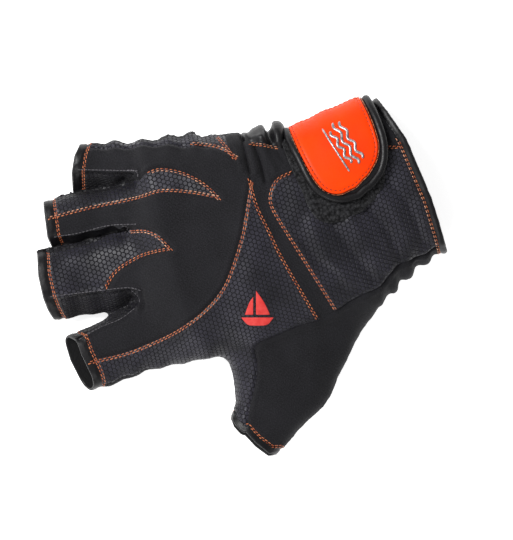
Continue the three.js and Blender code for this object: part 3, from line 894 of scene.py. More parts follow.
class Shader:
    """A material's nodes, built with short calls."""

    def __init__(self, name, **values):
        self.material = bpy.data.materials.new(name)
        self.material.use_nodes = True
        self.tree = self.material.node_tree
        self.shader = self.tree.nodes["Principled BSDF"]
        for key, value in values.items():
            self.shader.inputs[key.replace("_", " ")].default_value = value

    def node(self, kind, *inputs, **settings):
        made = self.tree.nodes.new("ShaderNode" + kind)
        for key, value in settings.items():
            setattr(made, key, value)
        for i, value in enumerate(inputs):
            if isinstance(value, bpy.types.NodeSocket):
                self.tree.links.new(value, made.inputs[i])
            elif value is not None:
                made.inputs[i].default_value = value
        return made

    def math(self, operation, *inputs):
        return self.node("Math", *inputs, operation=operation).outputs[0]

    def vector(self, operation, *inputs):
        made = self.node("VectorMath", *inputs, operation=operation)
        return made.outputs["Value" if operation in ("LENGTH", "DOT_PRODUCT") else "Vector"]

    def place(self):
        """The place in the cloth, in mm."""
        return self.node("UVMap", uv_map="cloth").outputs[0]

    def space(self):
        """The place in the object, in mm."""
        return self.scaled(self.node("TexCoord").outputs["Object"], 1000)

    def scaled(self, vector, scale):
        made = self.node("VectorMath", vector, operation="SCALE")
        made.inputs["Scale"].default_value = scale
        return made.outputs[0]

    def noise(self, vector, scale, detail=3.0):
        made = self.node("TexNoise")
        self.tree.links.new(vector, made.inputs["Vector"])
        made.inputs["Scale"].default_value = scale
        made.inputs["Detail"].default_value = detail
        return made.outputs["Fac"]

    def range(self, value, low, high, to_low=0.0, to_high=1.0):
        return self.node("MapRange", value, low, high, to_low, to_high).outputs[0]

    def mix(self, factor, dark, light):
        made = self.node("Mix", data_type="RGBA")
        sockets = (made.inputs[0], made.inputs[6], made.inputs[7])
        for socket, value in zip(sockets, (factor, dark, light)):
            if isinstance(value, bpy.types.NodeSocket):
                self.tree.links.new(value, socket)
            else:
                socket.default_value = value
        return made.outputs[2]

    def finish(self, color=None, height=None, depth=0.1, roughness=None):
        """Depth of the relief is in mm."""
        if color is not None:
            self.tree.links.new(color, self.shader.inputs["Base Color"])
        if roughness is not None:
            self.tree.links.new(roughness, self.shader.inputs["Roughness"])
        if height is not None:
            made = self.node("Bump")
            made.inputs["Strength"].default_value = 1.0
            made.inputs["Distance"].default_value = depth * MM
            self.tree.links.new(height, made.inputs["Height"])
            self.tree.links.new(made.outputs[0], self.shader.inputs["Normal"])
        return self.material


HEX_PITCH = 2.05  # between embossed cells, mm
HEX_WAY = (0.5, 0.8660254)  # a direction in plan square to one of a cell's slanted edges


def hex_distance(s, place):
    """From 0 at a cell's middle to 0.5 at its edge."""
    half = (*HEX_WAY, 0.5)
    away = tuple(-h for h in half)
    v = s.scaled(place, 1 / HEX_PITCH)
    cells = []
    for shift in ((0, 0, 0), half):
        moved = s.vector("ADD", v, shift)
        cells.append(s.vector("WRAP", moved, half, away))
    nearer = s.math("LESS_THAN", s.vector("LENGTH", s.vector("MULTIPLY", cells[0], (1, 1, 0))),
                    s.vector("LENGTH", s.vector("MULTIPLY", cells[1], (1, 1, 0))))
    mixed = s.node("Mix", data_type="VECTOR")
    for socket, value in zip((mixed.inputs[0], mixed.inputs[4], mixed.inputs[5]),
                             (nearer, cells[1], cells[0])):
        s.tree.links.new(value, socket)
    part = s.vector("ABSOLUTE", mixed.outputs[1])
    xyz = s.node("SeparateXYZ", part)
    slanted = s.vector("DOT_PRODUCT", part, (*HEX_WAY, 0))
    return s.math("MAXIMUM", xyz.outputs[0], slanted)


def embossed_fabric(name, tops, rim):
    """Raised cells in the two colours of tops, with a darker rim and still darker grooves of painted shade."""
    s = Shader(name, Roughness=0.58, Specular_IOR_Level=0.34, Sheen_Weight=0.04)
    place = s.place()
    cell = s.range(hex_distance(s, place), 0.485, 0.37)
    # The cell tops change tone in broad patches.
    broad_tone = s.noise(place, 0.06, 4.0)
    grain = s.noise(place, 2.6, 2.0)
    top = s.mix(s.range(broad_tone, 0.38, 0.62), *tops)
    # The near-black grooves that the cells fade into at their edges are painted shade.
    groove = s.mix(grain, rgb(4, 3, 6), rgb(11, 10, 14))
    color = s.mix(cell, groove, s.mix(s.range(grain, 0.3, 0.75), rim, top))
    height = s.math("ADD", cell, s.math("MULTIPLY", grain, 0.12))
    return s.finish(color, height, 0.26, s.range(cell, 0, 1, 0.85, 0.46))


def plain_fabric():
    s = Shader("plain_stretch", Roughness=0.9, Specular_IOR_Level=0.2, Sheen_Weight=0.06)
    place = s.place()
    xyz = s.node("SeparateXYZ", place)
    rows = s.math("SINE", s.math("MULTIPLY", xyz.outputs[0], 2 * math.pi / 0.62))
    turns = s.math("SINE", s.math("ADD", s.math("MULTIPLY", xyz.outputs[1], 2 * math.pi / 0.48),
                                  s.math("MULTIPLY", rows, 0.9)))
    knit = s.math("ADD", s.math("MULTIPLY", rows, 0.5), s.math("MULTIPLY", turns, 0.5))
    fuzz = s.noise(place, 1.9, 3.0)
    cloud = s.noise(s.space(), 0.07, 4.0)
    base = s.mix(s.range(cloud, 0.3, 0.7), rgb(8, 8, 10), rgb(21, 21, 24))
    fuzzy = s.range(s.math("ADD", fuzz, s.math("MULTIPLY", knit, 0.16)), 0.35, 0.8)
    color = s.mix(fuzzy, base, rgb(41, 40, 44))
    return s.finish(color, s.math("ADD", s.math("MULTIPLY", knit, 0.5), fuzz), 0.09)


def mottled(name, colors, cloud, spread, grain, depth, gloss=None, **values):
    """Two colours mixed by a coarse noise, with relief from a fine one. Each noise is a scale and
    a detail. Gloss, if given, is the roughness in the fine noise's hollows and on its tops."""
    s = Shader(name, **values)
    where = s.space()
    fine = s.noise(where, *grain)
    shade = s.range(s.noise(where, *cloud), *spread)
    return s.finish(s.mix(shade, *colors), fine, depth,
                    s.range(fine, 0.3, 0.7, *gloss) if gloss else None)


# A thread in two tones mixed at random; the lighter tone is painted highlight on the thread.
def thread(name, colors, roughness=0.5):
    return mottled(name, colors, (1.1, 2.0), (0.35, 0.65), (4.0, 3.0), 0.04,
                   Roughness=roughness, Specular_IOR_Level=0.5)


def leather(name, dark, light, roughness, pitch=0.5, depth=0.12):
    s = Shader(name, Roughness=roughness, Specular_IOR_Level=0.35)
    where = s.space()
    grain = s.node("TexVoronoi", where, feature="DISTANCE_TO_EDGE")
    grain.inputs["Scale"].default_value = pitch
    cells = s.range(grain.outputs["Distance"], 0.0, 0.25)
    cloud = s.noise(where, 0.08, 4.0)
    shade = s.range(s.math("ADD", cloud, s.math("MULTIPLY", cells, 0.25)), 0.4, 0.9)
    color = s.mix(shade, dark, light)
    return s.finish(color, s.math("ADD", cells, s.noise(where, 2.0)), depth,
                    s.range(cloud, 0.3, 0.7, roughness - 0.06, roughness + 0.08))


def pile():
    s = Shader("loop_pile", Roughness=0.95, Specular_IOR_Level=0.15, Sheen_Weight=0.12)
    where = s.space()
    curls = s.node("TexVoronoi", where, feature="SMOOTH_F1")
    curls.inputs["Scale"].default_value = 0.8
    fuzz = s.noise(where, 2.2, 4.0)
    shade = s.range(s.math("ADD", fuzz, curls.outputs["Distance"]), 0.6, 1.15)
    # Painted light on the pile: the curl tops lighter and the hollows between them darker, following the relief.
    color = s.mix(shade, rgb(54, 54, 56), rgb(6, 6, 7))
    return s.finish(color, s.math("SUBTRACT", fuzz, curls.outputs["Distance"]), 0.5)


FINISHES = {
    "embossed": embossed_fabric("embossed_stretch", (rgb(26, 25, 34), rgb(56, 54, 67)),
                                rgb(20, 19, 26)),
    # A darker copy of the embossed cloth, as painted shade on the walls between the stalls and on the little-finger
    # side panel.
    "embossed_side": embossed_fabric("embossed_side", (rgb(17, 16, 22), rgb(33, 31, 41)),
                                     rgb(12, 11, 16)),
    "plain": plain_fabric(),
    "band": mottled("satin_binding", (rgb(7, 6, 8), rgb(16, 15, 18)), (0.12, 2.0), (0.0, 1.0),
                    (1.6, 3.0), 0.05, (0.34, 0.5), Roughness=0.38, Specular_IOR_Level=0.3),
    "palm": leather("palm_suede", rgb(30, 30, 33), rgb(58, 58, 62), 0.85),
    "pad": leather("palm_pad", rgb(20, 20, 22), rgb(40, 40, 43), 0.6, 0.35, 0.2),
    "pile": pile(),
    "badge": mottled("badge_orange", (rgb(240, 56, 0), rgb(248, 68, 0)), (0.05, 3.0), (0.3, 0.7),
                     (1.2, 3.0), 0.03, (0.38, 0.54), Roughness=0.5, Specular_IOR_Level=0.12,
                     Coat_Weight=0.03, Coat_Roughness=0.3),
    "silver": mottled("silver_relief", (rgb(128, 122, 124), rgb(206, 204, 206)), (0.8, 4.0),
                      (0.35, 0.7), (0.8, 4.0), 0.06, (0.25, 0.5), Roughness=0.35, Metallic=0.75,
                      Specular_IOR_Level=0.5),
    "red": mottled("transfer_red", (rgb(206, 40, 38), rgb(226, 74, 68)), (0.35, 4.0),
                   (0.3, 0.75), (1.4, 3.0), 0.05, Roughness=0.55, Specular_IOR_Level=0.4),
    # Inner faces: a near-black lining, as painted shade inside the glove.
    "lining": leather("lining", rgb(6, 6, 7), rgb(13, 13, 14), 0.95),
    "orange_thread": thread("orange_thread", (rgb(146, 60, 26), rgb(214, 128, 80))),
    # A paler copy of the orange thread, painted highlight on the orange twin stitching.
    "pale_thread": thread("pale_thread", (rgb(140, 66, 38), rgb(226, 172, 138))),
    "grey_thread": thread("grey_thread", (rgb(56, 54, 58), rgb(104, 101, 106)), 0.75),
    "black_thread": thread("black_thread", (rgb(12, 12, 13), rgb(30, 30, 31)), 0.6),
}

# ------------------------------------------------------------------ panels with their thickness
SLOT_OF = {row["node"]: row["material_slot"] for row in frame["record"]["subparts"]}
# The stretch of each stall, from its root, over which its cloth turns from the hand to the stall.
BENDS = {"index": (3.6, 18), "middle": (2, 18), "ring": (4.4, 20), "little": (1.6, 15),
         "thumb": (24, 42)}
# The same for the tab: from where its root leaves the strap to where it lies flat on the wrist.
TAB_BEND = ((52.0 * MM, -50.5 * MM, 13.0 * MM), (45.0 * MM, -50.5 * MM, 25.0 * MM))


def make_mesh(name, points, faces, finish, normals=None, place=None):
    """An object from points in mm. Its place in the cloth, if given, becomes its UV map."""
    name += "_sewn" if name in frame["nodes"] else ""
    mesh = bpy.data.meshes.new(name)
    mesh.from_pydata((points * MM).tolist(), [], faces)
    mesh.polygons.foreach_set("use_smooth", np.ones(len(mesh.polygons), bool))
    if place is not None:
        corners = np.empty(len(mesh.loops), int)
        mesh.loops.foreach_get("vertex_index", corners)
        layer = mesh.uv_layers.new(name="cloth")
        layer.data.foreach_set("uv", place[corners].astype(np.float32).ravel())
    mesh.materials.append(FINISHES[finish])
    mesh.update()
    if normals is not None:
        mesh.normals_split_custom_set_from_vertices(normals.tolist())
    obj = bpy.data.objects.new(name, mesh)
    bpy.context.scene.collection.objects.link(obj)
    return obj


def follow(obj, stall_name):
    """Makes a piece ride on the hand, or turn from it to a stall or the tab across a hinge."""
    if stall_name is None:
        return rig.ride(obj, "hand")
    if stall_name == "tab":
        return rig.blend(obj, "hand", "closure_tab", start=TAB_BEND[0], end=TAB_BEND[1])
    stall = ALL_STALLS[stall_name]
    start, end = (to_plan(stall, u, 0.0) * MM for u in BENDS[stall_name])
    height = 0.45 * stall["top"] * MM
    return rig.blend(obj, "hand", stall_name + "_stall", start=(*start, height), end=(*end, height))


def stand_for(piece, name, body=None, *others):
    """Puts a piece in place of the CAD solid of that name, and of the others."""
    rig.replaces(follow(piece, body), name, *others)
    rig.slot(piece, SLOT_OF[name])


def hex_height(place):
    """Height, from 0 to 1, of the cells that the material has too, so that the two agree."""
    v = place / HEX_PITCH
    box = np.array([1.0, 3**0.5])
    a = np.mod(v + box / 2, box) - box / 2
    b = np.mod(v, box) - box / 2
    near = np.abs(np.where(((a**2).sum(1) < (b**2).sum(1))[:, None], a, b))
    distance = np.maximum(near[:, 0], near @ np.array(HEX_WAY))
    return 1 - ease(distance, 0.33, 0.5)


def shell(name, finish, wrap, relief):
    """A panel with its thickness: the skin outside, an inner face, and its cut edges closed."""
    used, faces = np.unique(skin.faces(name), return_inverse=True)
    faces = faces.reshape(-1, 3)
    p, n = skin.p[used], skin.n[used]
    place = wrap(p)
    count = len(used)
    edges = edges_of(faces)
    key = edges[:, 0] * np.int64(count) + edges[:, 1]
    back = edges[:, 1] * np.int64(count) + edges[:, 0]
    border = edges[~np.isin(key, back)]
    inner = p - FABRIC * n
    points, normals, places = [p, inner], [n, -n], [place, place]
    outer_faces = faces
    middle_of = {}
    if relief:
        pairs, index = np.unique(np.sort(edges, axis=1), axis=0, return_inverse=True)
        index = index.reshape(3, -1).T
        half_p, half_n = p[pairs].mean(1), n[pairs].mean(1)
        half_n = unit(half_n)
        half_place = place[pairs].mean(1)
        fade = ease(near_seam[used], 0.5, 1.5)
        p = p + relief * (hex_height(place) * fade)[:, None] * n
        half_p += relief * (hex_height(half_place) * fade[pairs].mean(1))[:, None] * half_n
        points = [p, inner, half_p]
        normals, places = [n, -n, half_n], [place, place, half_place]
        outer_faces = np.vstack(in_four(faces, index + 2 * count))
        middle_of = {(int(i), int(j)): 2 * count + k for k, (i, j) in enumerate(pairs)}
    all_faces = outer_faces.tolist() + (faces[:, ::-1] + count).tolist()
    total = sum(len(q) for q in points)
    # An open edge gets a rounded bead. An edge that is sewn to another panel is closed straight.
    rim = np.isin(used, rim_vertices)
    way = np.zeros((count, 3))
    for k in range(2):
        out = np.cross(skin.p[used][border[:, 1]] - skin.p[used][border[:, 0]], n[border[:, k]])
        np.add.at(way, border[:, k], out)
    way = unit(way, 1e-9)
    bead_at = np.flatnonzero(rim)
    beads = []
    for angle in (45, 90, 135):
        c, s = math.cos(math.radians(angle)), math.sin(math.radians(angle))
        points.append(p[bead_at] + (c - 1) * FABRIC / 2 * n[bead_at]
                      + s * FABRIC * 0.6 * way[bead_at])
        normals.append(c * n[bead_at] + s * way[bead_at])
        places.append(place[bead_at])
        beads.append(dict(zip(bead_at.tolist(), range(total, total + len(bead_at)))))
        total += len(bead_at)
    for a, b in border.tolist():
        half = middle_of.get((min(a, b), max(a, b)))
        rows = [[a, b] if half is None else [a, half, b]]
        if rim[a] and rim[b]:
            rows += [[bead[a], bead[b]] for bead in beads]
        rows.append([a + count, b + count])
        all_faces += [upper[::-1] + lower for upper, lower in zip(rows[:-1], rows[1:])]
    piece = make_mesh(name, np.vstack(points), all_faces, finish, np.vstack(normals),
                      np.vstack(places))
    # The inner faces take the near-black lining, painted shade inside the glove.
    piece.data.materials.append(FINISHES["lining"])
    for k in range(len(outer_faces), len(outer_faces) + len(faces)):
        piece.data.polygons[k].material_index = 1
    return piece


WEBS = {"little_radial_fourchette": "ring_little_web", "ring_radial_fourchette": "middle_ring_web",
        "middle_radial_fourchette": "index_middle_web"}
# Panels named after a stall that are part of the hand.
ON_HAND = ("index_side_panel", "middle_leaf", "ring_leaf", "little_leaf", "thumb_web",
           "thumb_base_panel")
CELL_RELIEF = 0.13  # height of the embossed cells


def make_panels():
    """Makes each panel, in its cloth, and puts it in place of its CAD solid."""
    for i, name in enumerate(skin.names):
        if not (skin.label == i).any():
            continue
        first_word = name.split("_")[0]
        stall = first_word if first_word in ALL_STALLS and name not in ON_HAND else None
        finish, relief = "band", 0.0
        if name in PLAIN:
            finish = "plain"
        # The wall between the middle and ring stalls keeps the dark satin band finish: it looks satin, and its
        # darkness is painted shade in that deep crease.
        elif name in EMBOSSED and name != "ring_radial_fourchette":
            # The walls between the stalls and the little-finger side panel take the darker copy of the embossed cloth,
            # as painted shade.
            dim = "fourchette" in name or name == "ulnar_side_panel"
            finish, relief = ("embossed_side" if dim else "embossed"), CELL_RELIEF
        elif name.endswith("_palm") or name == "palm_panel":
            finish = "palm"
        wrap = wrap_place if stall is None else (lambda p, s=ALL_STALLS[stall]: stall_wrap(s, p))
        piece = shell(name, finish, wrap, relief)
        if name in frame["nodes"]:
            stand_for(piece, name, stall, *([WEBS[name]] if name in WEBS else []))
        else:
            follow(piece, stall)
            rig.slot(piece, SLOT_OF["cuff_binding" if name == "wrist_gather" else "back_panel"])


make_panels()

# ------------------------------------------------------------------ stitches


def run_along(line):
    """The distance along a line to each of its points."""
    return np.append(0, np.cumsum(np.linalg.norm(np.diff(line, axis=0), axis=1)))


def resample(line, pitch):
    """Points at an even pitch on a line of many points."""
    line = np.asarray(line, float)
    run = run_along(line)
    count = max(2, int(run[-1] / pitch))
    places = np.linspace(0, run[-1], count + 1)
    return np.stack([np.interp(places, run, line[:, k]) for k in range(line.shape[1])], axis=1)


def below(x, y):
    """The point on the skin seen from above at a place in plan, and its normal."""
    return TREE.ray_cast(Vector((x, y, 60)), Vector((0, 0, -1)))[:2]


def drop_on(line):
    """Points on the skin under a line in plan, with their normals."""
    points, normals = [], []
    for x, y in line:
        hit, normal = below(x, y)
        if hit is not None and hit.z > 3:
            points.append(hit)
            normals.append(normal)
    return np.array(points), np.array(normals)


def loft_faces(rows, around):
    """Four-sided faces between rows of vertices that go round in rings."""
    return [[i * around + j, i * around + k, (i + 1) * around + k, (i + 1) * around + j]
            for i in range(rows - 1) for j, k in zip(range(around), [*range(1, around), 0])]


class Threads:
    """Stitches gathered into one mesh for each colour and body."""

    def __init__(self):
        self.runs = {}

    def add(self, finish, stall, points, normals, pitch=2.0, dash=1.45, radius=0.22, shift=0.0,
            skew=0.0, lift=0.1):
        """A row of dashes along points on the surface."""
        if len(points) < 2:
            return
        fine = resample(np.hstack([points, normals]), 0.25)
        run = run_along(fine[:, :3])
        starts = np.arange(shift * pitch, run[-1] - dash, pitch)
        if not len(starts):
            return
        profile = [(0.0, -0.20), (0.12, 0.02), (0.5, lift), (0.88, 0.02), (1.0, -0.20)]
        at = starts[:, None] + dash * np.array([t for t, _ in profile])[None, :]
        centre = np.stack([np.interp(at, run, fine[:, k]) for k in range(6)], axis=-1)
        n = unit(centre[..., 3:])
        c = centre[..., :3] + n * np.array([h for _, h in profile])[None, :, None]
        if stall != "tab":
            on_skin = [TREE.find_nearest(Vector(middle))[3] < 0.8 for middle in c[:, 2]]
            c, n = c[on_skin], n[on_skin]
            if not len(c):
                return
        along = c[:, -1] - c[:, 0]
        side = unit(np.cross(n, along[:, None, :]), 1e-9)
        c = c + side * skew * np.linspace(-0.5, 0.5, len(profile))[None, :, None]
        angles = np.arange(6) * math.pi / 3
        ring = (side[:, :, None, :] * np.cos(angles)[None, None, :, None]
                + n[:, :, None, :] * np.sin(angles)[None, None, :, None])
        thick = radius * np.array([0.55, 0.95, 1.0, 0.95, 0.55])[None, :, None, None]
        vertices = c[:, :, None, :] + ring * thick
        self.runs.setdefault((finish, stall), []).append(vertices.reshape(-1, 3))

    def build(self):
        rows, around = 5, 6
        quads = np.array(loft_faces(rows, around))
        caps = np.array([range(around)[::-1], range((rows - 1) * around, rows * around)])
        for (finish, stall), runs in self.runs.items():
            points = np.vstack(runs)
            starts = np.arange(len(points) // (rows * around))[:, None, None] * rows * around
            faces = (quads + starts).reshape(-1, 4).tolist()
            faces += (caps + starts).reshape(-1, around).tolist()
            piece = make_mesh(f"{finish}_{stall or 'hand'}", points, faces, finish)
            follow(piece, stall)


threads = Threads()


def twin_stitch(stall, line, gap=0.42, colors=("orange_thread", "orange_thread"), side=1.0):
    """A seam's two rows of dashes, along a line in plan that lies just beside the seam."""
    line = resample(spline(line, 1.0), 0.6)
    along = unit(np.gradient(line, axis=0))
    across = np.stack([-along[:, 1], along[:, 0]], axis=1)
    for row, color in enumerate(colors):
        points, normals = drop_on(line + across * (0.85 * side + gap * (2 * row - 1)))
        threads.add(color, stall, points, normals, shift=0.5 * row, skew=0.25)


def part_of(line, low, high, axis=1):
    """The part of a smooth line whose places on an axis lie in a range."""
    line = spline(line, 1.0)
    return line[(line[:, axis] >= low) & (line[:, axis] <= high)]


def ring_round(stall, from_end, middle_z=8.0, turns=120):
    """Points round a stall at a distance from its opening, found from inside."""
    points, normals = [], []
    v, z = 0.0, middle_z
    for angle in np.linspace(0, 2 * math.pi, turns, endpoint=False):
        for _ in range(3):
            u = float(linear(stall["end"], v)) - stall["slant"] * (z - PALM_Z) - from_end
            low, high = stall_sides(stall, u)
            centre = Vector((*to_plan(stall, u, (low + high) / 2), middle_z))
            way = Vector((*(stall["across"] * math.cos(angle)), math.sin(angle)))
            hit, normal, _, _ = TREE.ray_cast(centre, way, float(high - low) / 2 + 3)
            if hit is None:
                break
            v = float(stall_place(stall, np.array(hit))[1])
            z = hit.z
        if hit is not None:
            points.append(hit)
            normals.append(normal)
    return np.array(points + points[:1]), np.array(normals + normals[:1])


def cuff_ring(from_edge, turns=260):
    """Points round the cuff at a distance from its edge."""
    points, normals = [], []
    for angle in np.linspace(0, 2 * math.pi, turns, endpoint=False):
        x, hit = 14.0, None
        for _ in range(3):
            y = float(np.interp(x, *np.array(CUFF_EDGE).T)) + from_edge
            way = Vector((math.cos(angle), 0, math.sin(angle)))
            hit, normal, _, _ = TREE.ray_cast(Vector((14, y, 14)), way)
            if hit is None:
                break
            x = hit.x
        if hit is not None:
            points.append(hit)
            normals.append(normal)
    return np.array(points + points[:1]), np.array(normals + normals[:1])


def grey_run(stall, line, step=0.5, pitch=0.5):
    """A row of grey stitches along a line in plan."""
    points, normals = drop_on(resample(spline(line, step), pitch))
    threads.add("grey_thread", stall, points, normals, pitch=1.6, dash=1.5, radius=0.17)


def sew_all():
    """Stitches along the seams, the hems and the cuff."""
    # On these seams the second row is pale thread, as painted highlight on the orange stitching.
    pale = ("orange_thread", "pale_thread")
    twin_stitch("index", KNUCKLE_SEAM, side=-1)
    twin_stitch(None, GUSSET_TOP, side=-1)
    twin_stitch(None, [(28, -30), (26.8, -24), (24.4, -20.6), *GUSSET_FOOT[1:]], side=1)
    twin_stitch(None, part_of(LITTLE_LEAF, -9, 11), side=1, colors=pale)
    twin_stitch(None, [(38.3, -8.2), (43.7, -6.4), (48.6, -4), (51, -2.6)], side=1)
    twin_stitch("ring", RING_LEAF, side=1, colors=pale)
    twin_stitch(None, RING_LEAF_BACK[:-1], side=1, colors=pale)
    twin_stitch("middle", part_of(MIDDLE_LEAF, 20, 60.4), side=1)
    twin_stitch(None, MIDDLE_LEAF_BACK, side=1, colors=pale)
    twin_stitch(None, part_of(GATHER_SEAM, -28.5, -14.5), side=-0.6, colors=pale)
    twin_stitch(None, [(27.8, -72), (27, -75.4), (26.2, -78.3)], side=0)
    for name, stall in ALL_STALLS.items():
        hem = THUMB_HEM if name == "thumb" else HEM
        for row in range(2):
            points, normals = ring_round(stall, hem + 0.35 + 0.8 * row,
                                         9.5 if name == "thumb" else 8.0)
            threads.add("orange_thread", name, points, normals, pitch=1.9, shift=0.5 * row,
                        skew=0.3)
    # Round the cuff the second row is pale thread, as painted highlight on the orange stitching.
    for row, color in enumerate(("orange_thread", "pale_thread")):
        points, normals = cuff_ring(BINDING + 0.1 + 0.8 * row)
        threads.add(color, None, points, normals, shift=0.5 * row, skew=0.25)
    # A fine grey thread shows on the raised edges of the walls between the fingers.
    for name, stall in STALLS.items():
        grey_run(name, to_plan(stall, *np.array(stall["seam"]).T), 1.0)
    grey_run(None, [(-5.6, 50.2), (-7.6, 48.6), (-10.1, 47.7), (-12.6, 48.4)])
    grey_run(None, [(45.6, 39.2), (44.6, 36.2), (42.8, 35), (40.6, 36)], pitch=0.4)
    grey_run(None, [(22.6, 47.4), (21.6, 45.2), (20.2, 45.6), (19.2, 48)], pitch=0.4)
    threads.build()


sew_all()

# ------------------------------------------------------------------ the closure and other layers
# Half of the wrist's cross-section, from its crown round its side: places as parts of its half
# width and of its height over and under SIDE_Z, and the distance round it.
WRIST_HALF_WIDTH, WRIST_RISE = 41.5, 20.3
TURN = np.linspace(0, math.pi, 400)
TURN_POWER = np.where(TURN <= math.pi / 2, UPPER_POWER, LOWER_POWER)
ROUND_X = np.abs(np.sin(TURN)) ** (2 / TURN_POWER)
ROUND_Z = np.sign(np.cos(TURN)) * np.abs(np.cos(TURN)) ** (2 / TURN_POWER)
SECTION = np.stack([ROUND_X * WRIST_HALF_WIDTH,
                    ROUND_Z * np.where(ROUND_Z > 0, WRIST_RISE, SIDE_Z - PALM_Z)], axis=1)
ROUND_S = run_along(SECTION)


def drape(place, lift):
    """Points over the wrist at a distance round it and a Y, lifted off it, and its normals."""
    s, y = place[:, 0], place[:, 1]

    def surface(s):
        left, right = hand_sides(y)
        out = np.interp(np.abs(s), ROUND_S, ROUND_X)
        x = (left + right) / 2 + np.sign(s) * (right - left) / 2 * out
        z = np.interp(np.abs(s), ROUND_S, ROUND_Z)
        height = np.where(z > 0, table(HAND_TOP, y) - SIDE_Z, SIDE_Z - PALM_Z)
        return np.stack([x, y, SIDE_Z + z * height], axis=1)

    tangent = surface(s + 0.4) - surface(s - 0.4)
    normal = unit(np.stack([-tangent[:, 2], 0 * s, tangent[:, 0]], axis=1))
    return surface(s) + normal * np.asarray(lift)[..., None], normal


def round_place(points):
    """Distance round the wrist, and Y, of points in plan."""
    x, y = np.array(points, float).T
    t = across_hand(x, y, 0.999)
    upper = TURN <= math.pi / 2
    return np.stack([np.sign(t) * np.interp(np.abs(t), ROUND_X[upper], ROUND_S[upper]), y], axis=1)


def signed_area(outline):
    """Twice the area of a closed outline, negative if it goes round clockwise."""
    ahead = np.roll(outline, -1, axis=0)
    return (outline[:, 0] * ahead[:, 1] - ahead[:, 0] * outline[:, 1]).sum()


def inset(outline, distance):
    """A closed outline moved inwards."""
    tangent = unit(np.roll(outline, -1, axis=0) - np.roll(outline, 1, axis=0), 1e-9)
    way = np.sign(signed_area(outline)) * distance
    return outline + way * np.stack([-tangent[:, 1], tangent[:, 0]], axis=1)


def closed_line(points, pitch):
    """An outline with points at an even pitch."""
    return resample(np.vstack([points, points[:1]]), pitch)[:-1]


def patch(name, outline, low, profile, finish, lay=drape, fills=8, rough=0.0, flip=False):
    """A flat layer: a star-shaped outline laid on a surface, with its underside at the lift low.
    The profile gives the lifts of its upper side at distances inside the outline."""
    centre = outline.mean(0)
    reach = np.linalg.norm(outline - centre, axis=1).mean()
    distances, lifts = np.array(profile, float).T
    scales = [1 - d / reach for d in distances]
    scales += list(np.linspace(scales[-1], 0, fills + 1)[1:-1])
    closed = np.vstack([outline, outline[:1]])
    size = len(outline)
    rings = [centre + k * (outline - centre) for k in (0.25, 0.5, 0.75, 1.0)]
    heights = [np.full(size, low)] * len(rings)
    within = distances > 0
    for i, k in enumerate(scales):
        ring = centre + k * (outline - centre)
        rings.append(ring)
        if k == 1:
            heights.append(np.full(size, lifts[i]))
        else:
            heights.append(np.interp(line_distance(ring, closed), np.append(0, distances[within]),
                                     np.append(lifts[~within][-1], lifts[within])))
    place = np.vstack([*rings, centre[None], centre[None]])
    lift = np.concatenate([*heights, [low], [lifts[-1]]])
    if rough:
        seed = np.column_stack([place, 0 * lift])
        loops = ripples(seed, 2.3, 31, 9) + 0.5 * ripples(seed, 8, 33)
        lift = lift + (lift > low + 0.01) * rough * loops
    points, _ = lay(place, lift)
    faces = loft_faces(len(rings), size)
    bottom, crown = len(place) - 2, len(place) - 1
    last = (len(rings) - 1) * size
    for i in range(size):
        j = (i + 1) % size
        faces += [[bottom, j, i], [crown, last + i, last + j]]
    if (signed_area(outline) < 0) != flip:
        faces = [f[::-1] for f in faces]
    return make_mesh(name, points, faces, finish, place=place)


def tube_mesh(points, normals, wide, tall, around=12):
    """Vertices and faces of a bead along points, with closed ends."""
    side = unit(np.cross(normals, np.gradient(points, axis=0)), 1e-9)
    turn = np.linspace(0, 2 * math.pi, around, endpoint=False)
    scale = np.ones(len(points))
    scale[[0, -1]] = 0.35
    scale[[1, -2]] = 0.85
    ring = (points[:, None, :]
            + side[:, None, :] * (np.cos(turn)[None, :, None] * wide * scale[:, None, None])
            + normals[:, None, :] * (np.sin(turn)[None, :, None] * tall * scale[:, None, None]))
    faces = [[a, d, c, b] for a, b, c, d in loft_faces(len(points), around)]
    faces.append(list(range(around)))
    faces.append([(len(points) - 1) * around + j for j in range(around)][::-1])
    return ring.reshape(-1, 3), faces


def merge(name, parts, finish):
    """One object from several lots of vertices and faces."""
    points, faces, first = [], [], 0
    for p, f in parts:
        points.append(p)
        faces += [[first + i for i in face] for face in f]
        first += len(p)
    return make_mesh(name, np.vstack(points), faces, finish)


def closed_spline(points, step):
    """A smooth closed outline through points."""
    points = np.array(points, float)
    line = spline(np.vstack([points[-1:], points, points[:2]]), step)
    start = np.argmin(np.linalg.norm(line - points[0], axis=1))
    end = len(line) - 1 - np.argmin(np.linalg.norm(line[::-1] - points[0], axis=1))
    return resample(line[start:end], step)[:-1] if end > start else resample(line, step)[:-1]


# The tab, its badge and the loop patch in plan, without the tab's root, and the place round the
# wrist where that root lies.
TAB_EDGE = [(40, -30.7), (31.4, -32.5), (18, -35.9), (11.8, -41.3), (8.6, -48), (9.4, -56.5),
            (14.4, -65.4), (21.6, -71.1), (30, -73.3), (38.6, -73), (46, -71.6)]
BADGE_EDGE = [(40, -34), (31.7, -35.6), (22, -38.4), (15.9, -41.6), (13, -46.6), (13.6, -53),
              (17.2, -60.3), (22, -65.6), (28, -68.7), (34, -69), (40.3, -68.3), (46, -67)]
LOOP_EDGE = [(44, -31), (36, -29.4), (19, -32), (7.2, -34.4), (2.4, -38.8), (1.4, -46),
             (3.4, -55.5), (8, -63), (14.3, -68.2), (26, -69.5), (44, -67)]
ROOT_Z = 17.0
ROOT_S = float(np.interp(-(ROOT_Z - SIDE_Z) / WRIST_RISE, -ROUND_Z, ROUND_S))
TAB_TOP = 3.4  # lift of the tab's upper face
PIPING = (1.75, 1.55)  # half of the piping's width and of its height
WAVE_CENTRE = (32.0, -55.6)
